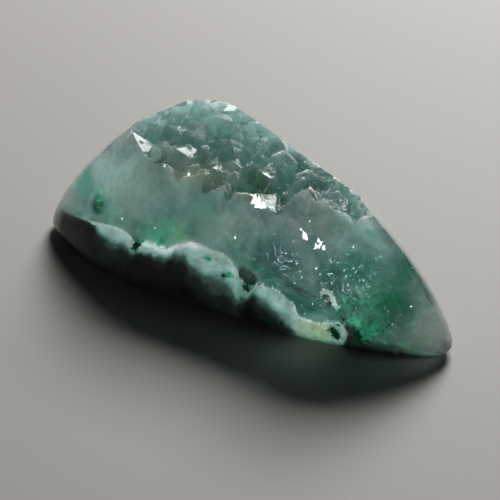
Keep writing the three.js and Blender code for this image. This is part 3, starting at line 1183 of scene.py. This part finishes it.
def white_silica_material(settings):
    """White silica: painted light at its crest, and painted shade as it sinks into dark green and brown."""
    material, nodes, shader = new_material("white silica")
    place = nodes.add("ShaderNodeTexCoord"), "Object"
    inner = nodes.attribute("inner")
    lift = nodes.span(nodes.noise(place, *LIFT_NOISE), *LIFT_SPAN)
    shaken = nodes.math("ADD", nodes.attribute("depth"), lift)
    white = nodes.ramp(nodes.math("MULTIPLY", shaken, WHITE_SPREAD), WHITE_STOPS)
    flecks = nodes.span(nodes.noise(place, *FLECK_NOISE), *FLECK_SPAN)
    swirls = nodes.span(nodes.noise(place, *SWIRL_NOISE), *SWIRL_SPAN)
    white = nodes.dimmed(white, nodes.math("MULTIPLY", flecks, swirls))
    for centre, reach, tint in LAYER_PATCHES:
        white = nodes.blend(nodes.patch(place, centre, reach), white, tint, "MULTIPLY")
    shade = tuple(channel * share for channel, share in zip(settings.heart_colour, HEART_SHADE))
    heart = nodes.ramp(nodes.noise(place, *HEART_NOISE), ((0.38, shade), (0.6, settings.heart_colour)))
    for centre, reach, tint in HEART_PATCHES:
        heart = nodes.blend(nodes.patch(place, centre, reach), heart, tint, "MULTIPLY")
    # Painted light: away from the heart, the layer glows in its own colour on the shaded front.
    lit = nodes.math("MULTIPLY", nodes.math("SUBTRACT", 1.0, inner), nodes.attribute("glow"))
    nodes.feed(shader, {
        "Base Color": nodes.blend(inner, white, heart),
        "Roughness": 0.6,
        "Specular IOR Level": 0.1,
        "Emission Color": nodes.blend(lit, (0.0, 0.0, 0.0), white),
        "Emission Strength": settings.layer_glow,
    })
    return material


class GEMDRUZY_OT_white_layer(bpy.types.Operator):
    """Lay the white silica layer inside the foot of the stone"""

    bl_idname = "gemdruzy.white_layer"
    bl_label = "Lay the White Silica"

    def execute(self, context):
        layer = white_layer("white_silica_layer")
        finished(layer, white_silica_material(context.scene.gem_druzy), LAYER_EDGE_ANGLE)
        return {"FINISHED"}


# ---------------------------------------------------------------------------
# Grains: moss, tufts, needles, the ring, chips and glints
# ---------------------------------------------------------------------------

FLAKE_RADIUS = 0.55
# A seed needs this much room, and its grain stays this far inside the stone.
LEAST_ROOM = 0.04
ROOM_KEPT = 0.01
# Nothing is sealed closer than this under the bare druzy skin.
DRUZY_COVER = 0.8
# A place well in front of the stone, from which its front wall is found.
IN_FRONT = -20
# How grains differ in colour from place to place, as in the stone.
GRAIN_NOISE = (2.5, 2.0, 0.5)


def grain_shape(name, sides, pointed):
    """A small closed grain that reaches out to 1: a pointed flake with that many
    sides, or a rounded lump that is divided that often."""
    mesh = bpy.data.meshes.new(name)
    body = bmesh.new()
    if pointed:
        bmesh.ops.create_cone(body, cap_ends=True, segments=sides, radius1=FLAKE_RADIUS, depth=2.0)
    else:
        bmesh.ops.create_icosphere(body, subdivisions=sides, radius=1.0)
    body.to_mesh(mesh)
    body.free()
    shape = bpy.data.objects.new(name, mesh)
    bpy.context.scene.collection.objects.link(shape)
    return shape


def grain_tree():
    """Sets a grain on every seed, turned and sized as the seed says."""
    tree, nodes = geometry_tree("Grain Scatter", (
        ("Grain", "NodeSocketObject"),
        ("Size", "NodeSocketFloat"),
        ("Material", "NodeSocketMaterial"),
    ))
    source = nodes.add("NodeGroupInput")
    grain = nodes.add("GeometryNodeObjectInfo", None, {"Object": (source, "Grain"), "As Instance": True})
    scale = nodes.add("GeometryNodeInputNamedAttribute", {"data_type": "FLOAT_VECTOR"}, {"Name": "size"})
    turn = nodes.add("GeometryNodeInputNamedAttribute", {"data_type": "FLOAT_VECTOR"}, {"Name": "turn"})
    sized = nodes.add("ShaderNodeVectorMath", {"operation": "SCALE"}, {
        0: (scale, "Attribute"), "Scale": (source, "Size"),
    })
    placed = nodes.add("GeometryNodeInstanceOnPoints", None, {
        "Points": (source, "Geometry"), "Instance": (grain, "Geometry"),
        "Rotation": (turn, "Attribute"), "Scale": (sized, "Vector"),
    })
    real = nodes.add("GeometryNodeRealizeInstances", None, {"Geometry": (placed, "Instances")})
    dressed = nodes.add("GeometryNodeSetMaterial", None, {
        "Geometry": (real, "Geometry"), "Material": (source, "Material"),
    })
    nodes.add("NodeGroupOutput", None, {"Geometry": (dressed, "Geometry")})
    return tree


def scattered(name, seeds, grain, scale, material):
    """Makes one piece of a grain on every seed; a seed is a place, a size and a turn."""
    points = mesh_object(name + "_seeds", [place for place, _, _ in seeds], [])
    mark(points, "size", "FLOAT_VECTOR", [size for _, size, _ in seeds])
    mark(points, "turn", "FLOAT_VECTOR", [turn for _, _, turn in seeds])
    grow(points, grain_tree(), {"Grain": grain, "Size": scale * MM, "Material": material})
    piece = baked(points, name)
    remove(grain)
    finished(piece, material)


def inner_surface():
    """A search tree of the polished form, to keep grains inside the stone."""
    form = polished_form("inner_surface", around=160, rows=30)
    mesh = form.data
    tree = BVHTree.FromPolygons(
        [vertex.co / MM for vertex in mesh.vertices], [tuple(face.vertices) for face in mesh.polygons]
    )
    remove(form)
    return tree


def room_around(surface, place):
    """How far a place lies inside the walls and under the druzy skin; 0 or less is outside."""
    hit, normal, _, distance = surface.find_nearest(place)
    if (place - hit).dot(normal) > 0:
        return 0.0
    return min(distance, druzy_height(place.x, place.y) - DRUZY_COVER - place.z)


def behind_front(surface, x, z, depth):
    """The place that lies that deep behind the front wall at x and z, or None beside the stone."""
    hit = surface.ray_cast(Vector((x, IN_FRONT, z)), Vector((0, 1, 0)))[0]
    if hit is None:
        return None
    return hit + Vector((0, depth, 0))


def any_turn(chance):
    """A turn that is even over all directions, as Euler angles."""
    return (chance.uniform(0, math.tau), math.acos(chance.uniform(-1, 1)), chance.uniform(0, math.tau))


# Dark green moss: x and z on the front wall, depth behind it, spread along x, y
# and z, and the number of flakes.
MOSS_CLUMPS = (
    (-8.7, 3.5, 0.12, (0.36, 0.05, 0.34), 520),
    (-8.8, 3.8, 0.2, (0.16, 0.05, 0.3), 60),
    (-5.42, 2.6, 0.08, (0.15, 0.04, 0.5), 520),
    (-0.85, 3.06, 0.06, (0.05, 0.01, 0.05), 8),
    (0.25, 2.46, 0.06, (0.14, 0.02, 0.07), 60),
    (1.5, 2.6, 0.3, (0.45, 0.12, 0.26), 420),
    (3.2, 0.75, 0.06, (0.5, 0.03, 0.3), 160),
    (3.9, 0.7, 0.06, (0.24, 0.03, 0.14), 80),
    (1.6, 2.1, 0.1, (0.16, 0.05, 0.3), 200),
    (7.08, 0.95, 0.05, (0.3, 0.02, 0.32), 700),
    (8.1, 1.1, 0.07, (0.46, 0.04, 0.46), 1900),
    (8.2, 0.4, 0.08, (0.95, 0.05, 0.22), 900),
    (9.6, 0.42, 0.1, (0.8, 0.05, 0.22), 1100),
    (10.5, 0.35, 0.1, (0.5, 0.05, 0.16), 420),
    (12.75, 0.75, 0.1, (0.1, 0.05, 0.12), 70),
)

# Green haze: the same, of finer flakes set further apart.
HAZE_CLOUDS = (
    (-8.7, 4.3, 0.5, (0.5, 0.3, 0.5), 160),
    (-6.6, 3.4, 0.5, (0.9, 0.3, 0.3), 260),
    (-5.2, 3.5, 0.5, (1.4, 0.35, 0.55), 230),
    (-2.4, 4.1, 0.5, (0.5, 0.3, 0.4), 200),
    (1.6, 3.3, 0.4, (0.7, 0.2, 0.25), 300),
    (7.0, 4.2, 1.2, (1.3, 0.7, 1.0), 700),
    (8.9, 3.2, 0.9, (1.1, 0.6, 0.9), 1300),
    (9.1, 3.1, 0.14, (1.4, 0.1, 1.2), 900),
    (9.5, 5.0, 0.9, (0.8, 0.6, 0.8), 320),
    (2.0, 4.5, 6.5, (3.0, 1.6, 0.9), 500),
    (-5.0, 4.5, 6.5, (2.4, 1.6, 0.9), 500),
)

# Bright green: the same, at the edges of the darkest moss.
BRIGHT_SPOTS = (
    (-3.95, 3.05, 0.1, (0.16, 0.04, 0.14), 110),
    (-0.95, 3.12, 0.04, (0.16, 0.01, 0.13), 150),
    (0.5, 2.56, 0.04, (0.2, 0.01, 0.16), 160),
    (3.3, 2.5, 0.05, (0.3, 0.02, 0.1), 30),
    (7.8, 1.75, 0.08, (0.3, 0.04, 0.1), 110),
    (8.35, 1.65, 0.08, (0.2, 0.04, 0.14), 130),
    (8.8, 1.35, 0.08, (0.14, 0.04, 0.2), 120),
    (9.1, 1.0, 0.08, (0.1, 0.04, 0.2), 90),
    (7.08, 1.4, 0.06, (0.3, 0.03, 0.06), 110),
    (10.9, 0.75, 0.08, (0.35, 0.03, 0.14), 200),
)

# How far flakes stray from the middle of their clump, as a share of its spread.
CLUMP_SPREAD = 0.6

# The sealed greens: piece, clumps, mineral, its colour setting, the size and
# thinness of its flakes, and its glow, which is painted light.
SEALED_GREENS = (
    ("green_moss", MOSS_CLUMPS, "dark green moss", "moss_colour", 0.14, 0.35, 0.1),
    ("green_haze", HAZE_CLOUDS, "green haze", "haze_colour", 0.06, 0.3, 0.16),
    ("bright_green_spots", BRIGHT_SPOTS, "bright green", "bright_colour", 0.06, 0.3, 0.4),
)


def clump_seeds(surface, chance, clumps, size, thin):
    """Seeds gathered round the middle of each clump, each small enough to stay in the stone."""
    seeds = []
    for x, z, depth, spread, count in clumps:
        middle = behind_front(surface, x, z, depth)
        for _ in range(count):
            offset = Vector([chance.gauss(0, CLUMP_SPREAD) * width for width in spread])
            place = middle + offset
            room = room_around(surface, place)
            if room < LEAST_ROOM:
                continue
            width = min(chance.uniform(0.5, 1.0), (room - ROOM_KEPT) / size)
            seeds.append((place, (width, width * chance.uniform(0.6, 1.0), width * thin), any_turn(chance)))
    return seeds


def plain_material(name, colour, roughness, variation, glow):
    """An opaque mineral of one colour, lightened and darkened from grain to grain."""
    material, nodes, shader = new_material(name)
    place = nodes.add("ShaderNodeTexCoord"), "Object"
    dark = tuple(channel * (1 - variation) for channel in colour)
    light = tuple(min(1.0, channel * (1 + variation)) for channel in colour)
    shade = nodes.ramp(nodes.noise(place, *GRAIN_NOISE), ((0.35, dark), (0.65, light)))
    # Painted light: the glow makes each grain shine in its own colour, though it is no lamp.
    nodes.feed(shader, {
        "Base Color": shade,
        "Roughness": roughness,
        "Emission Color": shade,
        "Emission Strength": glow,
    })
    return material


class GEMDRUZY_OT_moss(bpy.types.Operator):
    """Seal clumps of dark green moss and a green haze in the stone"""

    bl_idname = "gemdruzy.moss"
    bl_label = "Seal the Green Moss"

    def execute(self, context):
        settings = context.scene.gem_druzy
        surface = inner_surface()
        chance = random.Random(settings.growth_seed)
        for name, clumps, mineral, setting, size, thin, glow in SEALED_GREENS:
            colour = getattr(settings, setting)
            material = plain_material(mineral, colour, roughness=0.5, variation=0.5, glow=glow)
            seeds = clump_seeds(surface, chance, clumps, size, thin)
            scattered(name, seeds, grain_shape("flake", 1, False), size, material)
        return {"FINISHED"}


class GEMDRUZY_OT_tufts(bpy.types.Operator):
    """Set white tufts along the crest of the white silica"""

    bl_idname = "gemdruzy.tufts"
    bl_label = "Set the White Tufts"

    def execute(self, context):
        settings = context.scene.gem_druzy
        chance = random.Random(settings.growth_seed + 1)
        seeds = []
        edges = [layer_edge(edge) for edge in girdle_edges(TUFT_PLACES)]
        for edge, beside in zip(edges, edges[1:] + edges[:1]):
            if smooth_path(TUFT_SHARE, edge.x) < chance.random():
                continue
            along = (beside - edge).normalized()
            crest = crest_height(edge)
            tall = smooth_path(TUFT_LENGTH, edge.x) * math.exp(chance.gauss(0, 0.35))
            wide = chance.uniform(*TUFT_RADIUS)
            inset = smooth_path(LAYER_DEPTH, edge.x) + abs(chance.gauss(0, TUFT_INSET))
            place = wall_at_height(edge, crest + 0.45 * tall, inset)
            rise = wall_at_height(edge, crest + 0.8 * tall, inset) - place
            swayed = rise.normalized() + TUFT_SWAY * along * chance.gauss(0, 1)
            seeds.append((place, (wide, wide, tall), swayed.to_track_quat("Z", "Y").to_euler()))
        # Painted light: the tufts glow as strongly as the white silica.
        white = plain_material(
            "white tufts", settings.tuft_colour, roughness=0.6, variation=0.1, glow=settings.layer_glow,
        )
        scattered("white_tufts", seeds, grain_shape("tuft_grain", 5, True), 1.0, white)
        return {"FINISHED"}


# Green needles: x and z on the front wall where a bunch starts and where it ends,
# the spread at both ends and the number of needles.
NEEDLE_BUNCHES = (
    ((7.0, 3.12), (8.6, 2.45), 0.035, 0.14, 12),
    ((7.1, 3.05), (7.9, 1.75), 0.035, 0.1, 11),
    ((7.8, 1.6), (8.0, 2.4), 0.3, 0.5, 50),
    ((8.6, 1.3), (9.3, 1.9), 0.3, 0.5, 50),
    ((-4.4, 3.0), (-4.5, 3.8), 0.5, 0.4, 110),
    ((-3.0, 3.5), (-2.9, 4.3), 0.7, 0.5, 150),
    ((-7.4, 3.4), (-7.6, 4.0), 0.7, 0.5, 90),
    ((-8.72, 3.7), (-8.75, 4.6), 0.1, 0.12, 40),
    ((0.6, 3.5), (0.8, 3.9), 0.8, 0.6, 60),
    ((9.0, 2.2), (9.6, 3.7), 1.0, 1.0, 160),
    ((2.2, 3.3), (3.1, 3.55), 0.05, 0.06, 9),
    ((2.9, 2.95), (3.7, 3.1), 0.04, 0.05, 7),
)
# How deep behind the front wall needles start and end, how much of their way
# they grow, their radius, and the room that they need.
NEEDLE_ROOT_DEPTH = (0.03, 0.14)
NEEDLE_TIP_DEPTH = (0.05, 0.3)
NEEDLE_GROWTH = (0.4, 1.0)
NEEDLE_RADIUS = (0.018, 0.03)
NEEDLE_ROOM = 0.02


def needle_end(surface, chance, middle, spread, depths):
    """A place round the middle of a bunch's start or end, or None beside the stone."""
    x = middle[0] + chance.gauss(0, spread)
    z = middle[1] + chance.gauss(0, spread)
    return behind_front(surface, x, z, chance.uniform(*depths))


class GEMDRUZY_OT_needles(bpy.types.Operator):
    """Grow bunches of fine green needles up from the white silica"""

    bl_idname = "gemdruzy.needles"
    bl_label = "Grow the Green Needles"

    def execute(self, context):
        settings = context.scene.gem_druzy
        surface = inner_surface()
        chance = random.Random(settings.growth_seed + 3)
        seeds = []
        for start, end, start_spread, end_spread, count in NEEDLE_BUNCHES:
            for _ in range(count):
                root = needle_end(surface, chance, start, start_spread, NEEDLE_ROOT_DEPTH)
                tip = needle_end(surface, chance, end, end_spread, NEEDLE_TIP_DEPTH)
                if root is None or tip is None or root.z < smooth_path(CREST_FRONT, root.x):
                    continue
                tip = root.lerp(tip, chance.uniform(*NEEDLE_GROWTH))
                middle = root.lerp(tip, 0.5)
                if room_around(surface, middle) > NEEDLE_ROOM:
                    width = chance.uniform(*NEEDLE_RADIUS)
                    turn = (tip - root).to_track_quat("Z", "Y").to_euler()
                    seeds.append((middle, (width, width, (tip - middle).length), turn))
        # Painted light: the needles glow strongly.
        green = plain_material(
            "green needles", settings.needle_colour, roughness=0.4, variation=0.4, glow=0.9,
        )
        scattered("green_needles", seeds, grain_shape("needle_grain", 4, True), 1.0, green)
        return {"FINISHED"}


# The white ring with its tail, along which share of its run it is where, and the
# brown specks: x and z on the front wall, width and number of grains.
RING_X = ((0.0, 6.0), (0.18, 6.1), (0.36, 6.35), (0.54, 6.55), (0.72, 6.65), (0.86, 6.78), (1.0, 6.95))
RING_Z = ((0.0, 2.98), (0.18, 3.13), (0.36, 3.08), (0.54, 2.88), (0.72, 2.66), (0.86, 2.5), (1.0, 2.33))
RING_GRAINS = 420
RING_SPREAD = 0.055
RING_COLOUR = (0.82, 0.92, 0.88)
SPECK_COLOUR = (0.16, 0.1, 0.05)
BROWN_SPECKS = ((6.47, 2.47, 0.14, 34), (6.15, 2.82, 0.1, 30), (7.35, 1.78, 0.16, 30), (5.4, 3.95, 0.06, 8))


class GEMDRUZY_OT_ring(bpy.types.Operator):
    """Seal the small white ring with its brown speck and tail in the stone"""

    bl_idname = "gemdruzy.ring"
    bl_label = "Seal the White Ring"

    def execute(self, context):
        settings = context.scene.gem_druzy
        surface = inner_surface()
        chance = random.Random(settings.growth_seed + 4)
        white, brown = [], []
        for _ in range(RING_GRAINS):
            share = chance.random()
            x = smooth_path(RING_X, share) + chance.gauss(0, RING_SPREAD)
            z = smooth_path(RING_Z, share) + chance.gauss(0, RING_SPREAD)
            size = chance.uniform(0.02, 0.06)
            place = behind_front(surface, x, z, chance.uniform(0.09, 0.2))
            white.append((place, (size,) * 3, any_turn(chance)))
        for x, z, width, count in BROWN_SPECKS:
            for _ in range(count):
                place = behind_front(
                    surface, x + chance.gauss(0, 0.5) * width, z + chance.gauss(0, 0.5) * width,
                    chance.uniform(0.06, 0.16),
                )
                size = chance.uniform(0.02, 0.05)
                brown.append((place, (size,) * 3, any_turn(chance)))
        # Painted light: the ring's grains glow, and the brown specks faintly.
        material = plain_material("ring white", RING_COLOUR, roughness=0.6, variation=0.15, glow=0.5)
        scattered("white_ring", white, grain_shape("ring_grain", 1, False), 1.0, material)
        material = plain_material("speck brown", SPECK_COLOUR, roughness=0.6, variation=0.3, glow=0.05)
        scattered("brown_speck", brown, grain_shape("speck_grain", 1, False), 1.0, material)
        return {"FINISHED"}


# Where the rim is chipped most: x, y and reach.
CHIPPED_PLACES = (
    (-4.1, -4.0, 0.9), (-3.0, -3.9, 0.7), (-1.4, -4.3, 0.8),
    (0.4, -4.5, 0.7), (4.6, -4.7, 0.7), (5.8, -4.6, 1.1),
)
# Chips: the distance between them along an edge, their radius, and the turn
# between two druzy faces from which their edge is chipped too.
CHIP_SPACING = 0.06
CHIP_RADIUS = 0.018
CHIPPED_ANGLE = 0.6
CHIP_COLOUR = (0.7, 0.78, 0.75)
# How chips crowd: the waves along the rim, as features in each millimetre and
# strength, how they thin out behind the first place and beyond the second, and
# how strongly they gather at the chipped places.
CHIP_WAVES = ((1.1, 1.0), (3.7, 0.6))
CHIPS_THIN_BEHIND, BEHIND_THINNING = -1.5, 0.6
CHIPS_THIN_BEYOND, BEYOND_THINNING = 5.5, 0.5
CHIP_GATHERING = 0.7


def chip_crowding(place):
    """How thickly chips lie at a place: most at the chipped places, least at the back and the ends."""
    crowding = sum(strength * noise.noise(place * cycles) for cycles, strength in CHIP_WAVES)
    behind = BEHIND_THINNING * max(0.0, place.y - CHIPS_THIN_BEHIND)
    beyond = BEYOND_THINNING * max(0.0, abs(place.x) - CHIPS_THIN_BEYOND)
    crowding -= behind + beyond
    for x, y, reach in CHIPPED_PLACES:
        crowding += CHIP_GATHERING * math.exp(-((place.x - x) ** 2 + (place.y - y) ** 2) / reach ** 2)
    return crowding


def chip_seeds(body, chance):
    """Seeds along the rim, and along the sharp edges of the druzy."""
    druzy = body.faces.layers.float["druzy"]
    seeds = []
    for edge in body.edges:
        if len(edge.link_faces) != 2:
            continue
        sides = [face[druzy] > 0.5 for face in edge.link_faces]
        on_rim = sides[0] != sides[1]
        if not on_rim and (not all(sides) or edge.calc_face_angle() < CHIPPED_ANGLE):
            continue
        start, end = (vertex.co / MM for vertex in edge.verts)
        run = end - start
        for _ in range(1 + int(run.length / CHIP_SPACING)):
            place = start.lerp(end, chance.random())
            crowding = chip_crowding(place)
            if crowding < chance.uniform(0.0, 0.6) + (0.0 if on_rim else 0.2):
                continue
            size = CHIP_RADIUS * math.exp(chance.gauss(0, 0.4)) * (1 + 0.6 * clamp(crowding))
            place = place + Vector((chance.gauss(0, 0.03), chance.gauss(0, 0.03), 0.0))
            swayed = run.normalized() + Vector([chance.gauss(0, 0.3) for _ in range(3)])
            turn = swayed.to_track_quat("Z", "Y").to_euler()
            seeds.append((place, (size, size * 0.5, size * chance.uniform(1.5, 5.0)), turn))
    return seeds


class GEMDRUZY_OT_rim(bpy.types.Operator):
    """Chip the rim where the polish meets the druzy"""

    bl_idname = "gemdruzy.rim"
    bl_label = "Chip the Druzy Rim"

    def execute(self, context):
        settings = context.scene.gem_druzy
        stone = bpy.data.objects.get("druzy_skin_stone")
        if stone is None:
            raise RuntimeError("Grow the stone before its rim is chipped")
        chance = random.Random(settings.growth_seed + 5)
        body = bmesh.new()
        body.from_mesh(stone.data)
        seeds = chip_seeds(body, chance)
        body.free()
        white = plain_material("chipped rim", CHIP_COLOUR, roughness=0.35, variation=0.15, glow=0.08)
        scattered("chipped_rim", seeds, grain_shape("chip_grain", 1, False), 1.0, white)
        return {"FINISHED"}


# Bright breaks inside the stone, and bright breaks just under its rim, that glow
# white as painted glints; those under the rim paint the window's reflection: x and
# z on the front wall, depth and width.
GLINTS = (
    (4.2, 6.0, 0.1, 0.14), (4.4, 5.86, 0.1, 0.26), (4.52, 5.76, 0.12, 0.3), (4.62, 5.66, 0.12, 0.16),
    (5.3, 5.72, 0.12, 0.22), (5.46, 5.55, 0.1, 0.3), (5.66, 5.42, 0.12, 0.2), (5.22, 5.42, 0.12, 0.18),
    (0.45, 4.55, 0.12, 0.12), (4.75, 3.6, 0.12, 0.1),
    (-6.7, 3.6, 0.1, 0.08), (-4.5, 3.75, 0.1, 0.08), (4.6, 6.5, 0.1, 0.1),
)
RIM_GLINTS = (
    (1.08, 6.63, 0.05, 0.34), (1.36, 6.58, 0.05, 0.4), (1.68, 6.5, 0.05, 0.36),
    (-4.85, 6.7, 0.06, 0.14), (-3.25, 6.7, 0.06, 0.13), (-3.4, 6.55, 0.06, 0.08),
)

# Clusters of specks that glow as painted glints: x and z on the front wall, spread along both, number.
SPARKLE_CLUSTERS = (
    (3.3, 4.6, 0.6, 0.6, 60), (3.6, 4.1, 0.35, 0.35, 40), (7.2, 3.9, 0.9, 0.7, 90),
    (8.1, 3.6, 0.4, 0.5, 40), (1.2, 5.6, 1.6, 0.9, 50), (-2.5, 5.4, 2.6, 1.1, 70),
    (5.6, 4.2, 1.6, 1.1, 90), (9.6, 3.2, 0.9, 0.9, 30), (-6.5, 4.6, 1.5, 1.2, 40),
)
SPARKLE_WIDTH = 0.026
# Painted highlight: the colour in which the glints glow.
PAINTED_GLINT_COLOUR = (0.93, 0.97, 0.98)


def flat_breaks(surface, chance, places):
    """Flat breaks that lean with the front wall."""
    seeds = []
    for x, z, depth, width in places:
        place = behind_front(surface, x, z, depth)
        lean = behind_front(surface, x, z + 0.3, depth) - place
        turn = Vector((chance.gauss(0, 0.4), 0, 0)) + lean.normalized()
        size = (width, width * 0.15, width * chance.uniform(0.5, 0.9))
        seeds.append((place, size, turn.to_track_quat("Z", "Y").to_euler()))
    return seeds


def sparkles(surface, chance):
    """Small specks, painted glints, that lie in clusters behind the front wall."""
    seeds = []
    for x, z, across, upward, count in SPARKLE_CLUSTERS:
        for _ in range(count):
            hit = behind_front(surface, x + chance.gauss(0, across), z + chance.gauss(0, upward), 0)
            if hit is None:
                continue
            place = hit + Vector((0, chance.uniform(0.05, 0.3), 0))
            width = SPARKLE_WIDTH * math.exp(chance.gauss(0, 0.5))
            long = width * chance.choice((1.0, 1.0, 1.5, 2.2))
            if room_around(surface, place) > long:
                seeds.append((place, (width * 0.5, width, long), any_turn(chance)))
    return seeds


class GEMDRUZY_OT_glints(bpy.types.Operator):
    """Seal small breaks and specks that glow as painted glints in the stone"""

    bl_idname = "gemdruzy.glints"
    bl_label = "Seal the Glints"

    def execute(self, context):
        settings = context.scene.gem_druzy
        surface = inner_surface()
        chance = random.Random(settings.growth_seed + 2)
        seeds = flat_breaks(surface, chance, GLINTS)
        seeds += sparkles(surface, chance)
        seeds += flat_breaks(surface, chance, RIM_GLINTS)
        # Painted highlight: the breaks and specks glow white, though they are no lamp.
        white = plain_material("bright breaks", PAINTED_GLINT_COLOUR, roughness=0.15, variation=0.0, glow=2.4)
        scattered("glints", seeds, grain_shape("glint_grain", 4, True), 1.0, white)
        return {"FINISHED"}


# ---------------------------------------------------------------------------
# The stage
# ---------------------------------------------------------------------------

# The floor lies just under the stone, and reaches this far on each side.
FLOOR_REACH = 400
FLOOR_HEIGHT = -0.02
FLOOR_COLOUR = (0.37, 0.357, 0.335)
FLOOR_ROUGHNESS = 0.7
SKY_COLOUR = (1.0, 0.97, 0.93)
SKY_STRENGTH = 0.015
WINDOW_SIDE = 100
WINDOW_STRENGTH = 31.0
# The camera: what it looks at, from how far and from where, and its lens.
CAMERA_TARGET = Vector((-0.75, -1.52, 0.83))
CAMERA_DISTANCE = 104
CAMERA_AZIMUTH = math.radians(27.7)
CAMERA_ELEVATION = math.radians(35)
CAMERA_LENS = 130
CAMERA_SENSOR = 36
CAMERA_CLIP = (10, 2000)


def lay_floor():
    """The plain pale floor that the stone rests on."""
    corners = [Vector((x * FLOOR_REACH, y * FLOOR_REACH, FLOOR_HEIGHT)) for x, y in
               ((-1, -1), (1, -1), (1, 1), (-1, 1))]
    floor = mesh_object("floor", corners, [(0, 1, 2, 3)])
    material, nodes, shader = new_material("pale floor")
    nodes.feed(shader, {"Base Color": FLOOR_COLOUR, "Roughness": FLOOR_ROUGHNESS})
    floor.data.materials.append(material)


def light_room(scene):
    """A faint sky, and the light of one window."""
    world = bpy.data.worlds.new("soft sky")
    scene.world = world
    world.use_nodes = True
    background = world.node_tree.nodes["Background"]
    Nodes(world.node_tree).feed(background, {"Color": SKY_COLOUR, "Strength": SKY_STRENGTH})
    light = bpy.data.lights.new("window", "AREA")
    light.shape = "SQUARE"
    light.size = WINDOW_SIDE * MM
    light.energy = WINDOW_STRENGTH * (WINDOW_SIDE * MM) ** 2 * math.pi
    window = bpy.data.objects.new("window", light)
    scene.collection.objects.link(window)
    window.location = WINDOW_PLACE * MM
    window.rotation_euler = window.location.to_track_quat("Z", "Y").to_euler()


def place_camera(scene):
    """The camera, aimed at the stone."""
    lens = bpy.data.cameras.new("camera")
    lens.lens = CAMERA_LENS
    lens.sensor_width = CAMERA_SENSOR
    lens.clip_start, lens.clip_end = (distance * MM for distance in CAMERA_CLIP)
    camera = bpy.data.objects.new("camera", lens)
    scene.collection.objects.link(camera)
    back = Vector((
        math.sin(CAMERA_AZIMUTH) * math.cos(CAMERA_ELEVATION),
        -math.cos(CAMERA_AZIMUTH) * math.cos(CAMERA_ELEVATION),
        math.sin(CAMERA_ELEVATION),
    ))
    camera.location = (CAMERA_TARGET + back * CAMERA_DISTANCE) * MM
    camera.rotation_euler = back.to_track_quat("Z", "Y").to_euler()
    scene.camera = camera


class GEMDRUZY_OT_stage(bpy.types.Operator):
    """Lay the floor and place the lights and the camera"""

    bl_idname = "gemdruzy.stage"
    bl_label = "Set the Stage"

    def execute(self, context):
        context.scene.view_settings.view_transform = "Standard"
        lay_floor()
        light_room(context.scene)
        place_camera(context.scene)
        return {"FINISHED"}


class GEMDRUZY_PT_panel(bpy.types.Panel):
    """Lists the steps that build the stone"""

    bl_label = "Gem Silica Druzy"
    bl_idname = "GEMDRUZY_PT_panel"
    bl_space_type = "VIEW_3D"
    bl_region_type = "UI"
    bl_category = "Gem Druzy"

    def draw(self, context):
        settings = context.scene.gem_druzy
        for name in settings.bl_rna.properties.keys():
            if name not in {"rna_type", "name"}:
                self.layout.prop(settings, name)
        for operator in STEPS:
            self.layout.operator(operator.bl_idname)


STEPS = (
    GEMDRUZY_OT_stone,
    GEMDRUZY_OT_white_layer,
    GEMDRUZY_OT_rim,
    GEMDRUZY_OT_tufts,
    GEMDRUZY_OT_moss,
    GEMDRUZY_OT_needles,
    GEMDRUZY_OT_ring,
    GEMDRUZY_OT_glints,
    GEMDRUZY_OT_stage,
)
CLASSES = (GemDruzySettings, *STEPS, GEMDRUZY_PT_panel)


def register():
    """Makes the settings, the steps and the panel known."""
    for each in CLASSES:
        bpy.utils.register_class(each)
    bpy.types.Scene.gem_druzy = PointerProperty(type=GemDruzySettings)


def unregister():
    """Takes them away again."""
    del bpy.types.Scene.gem_druzy
    for each in reversed(CLASSES):
        bpy.utils.unregister_class(each)


def main():
    """Builds every piece in order."""
    register()
    bpy.ops.gemdruzy.stone()
    bpy.ops.gemdruzy.white_layer()
    bpy.ops.gemdruzy.rim()
    bpy.ops.gemdruzy.tufts()
    bpy.ops.gemdruzy.moss()
    bpy.ops.gemdruzy.needles()
    bpy.ops.gemdruzy.ring()
    bpy.ops.gemdruzy.glints()
    bpy.ops.gemdruzy.stage()


if __name__ == "__main__":
    main()
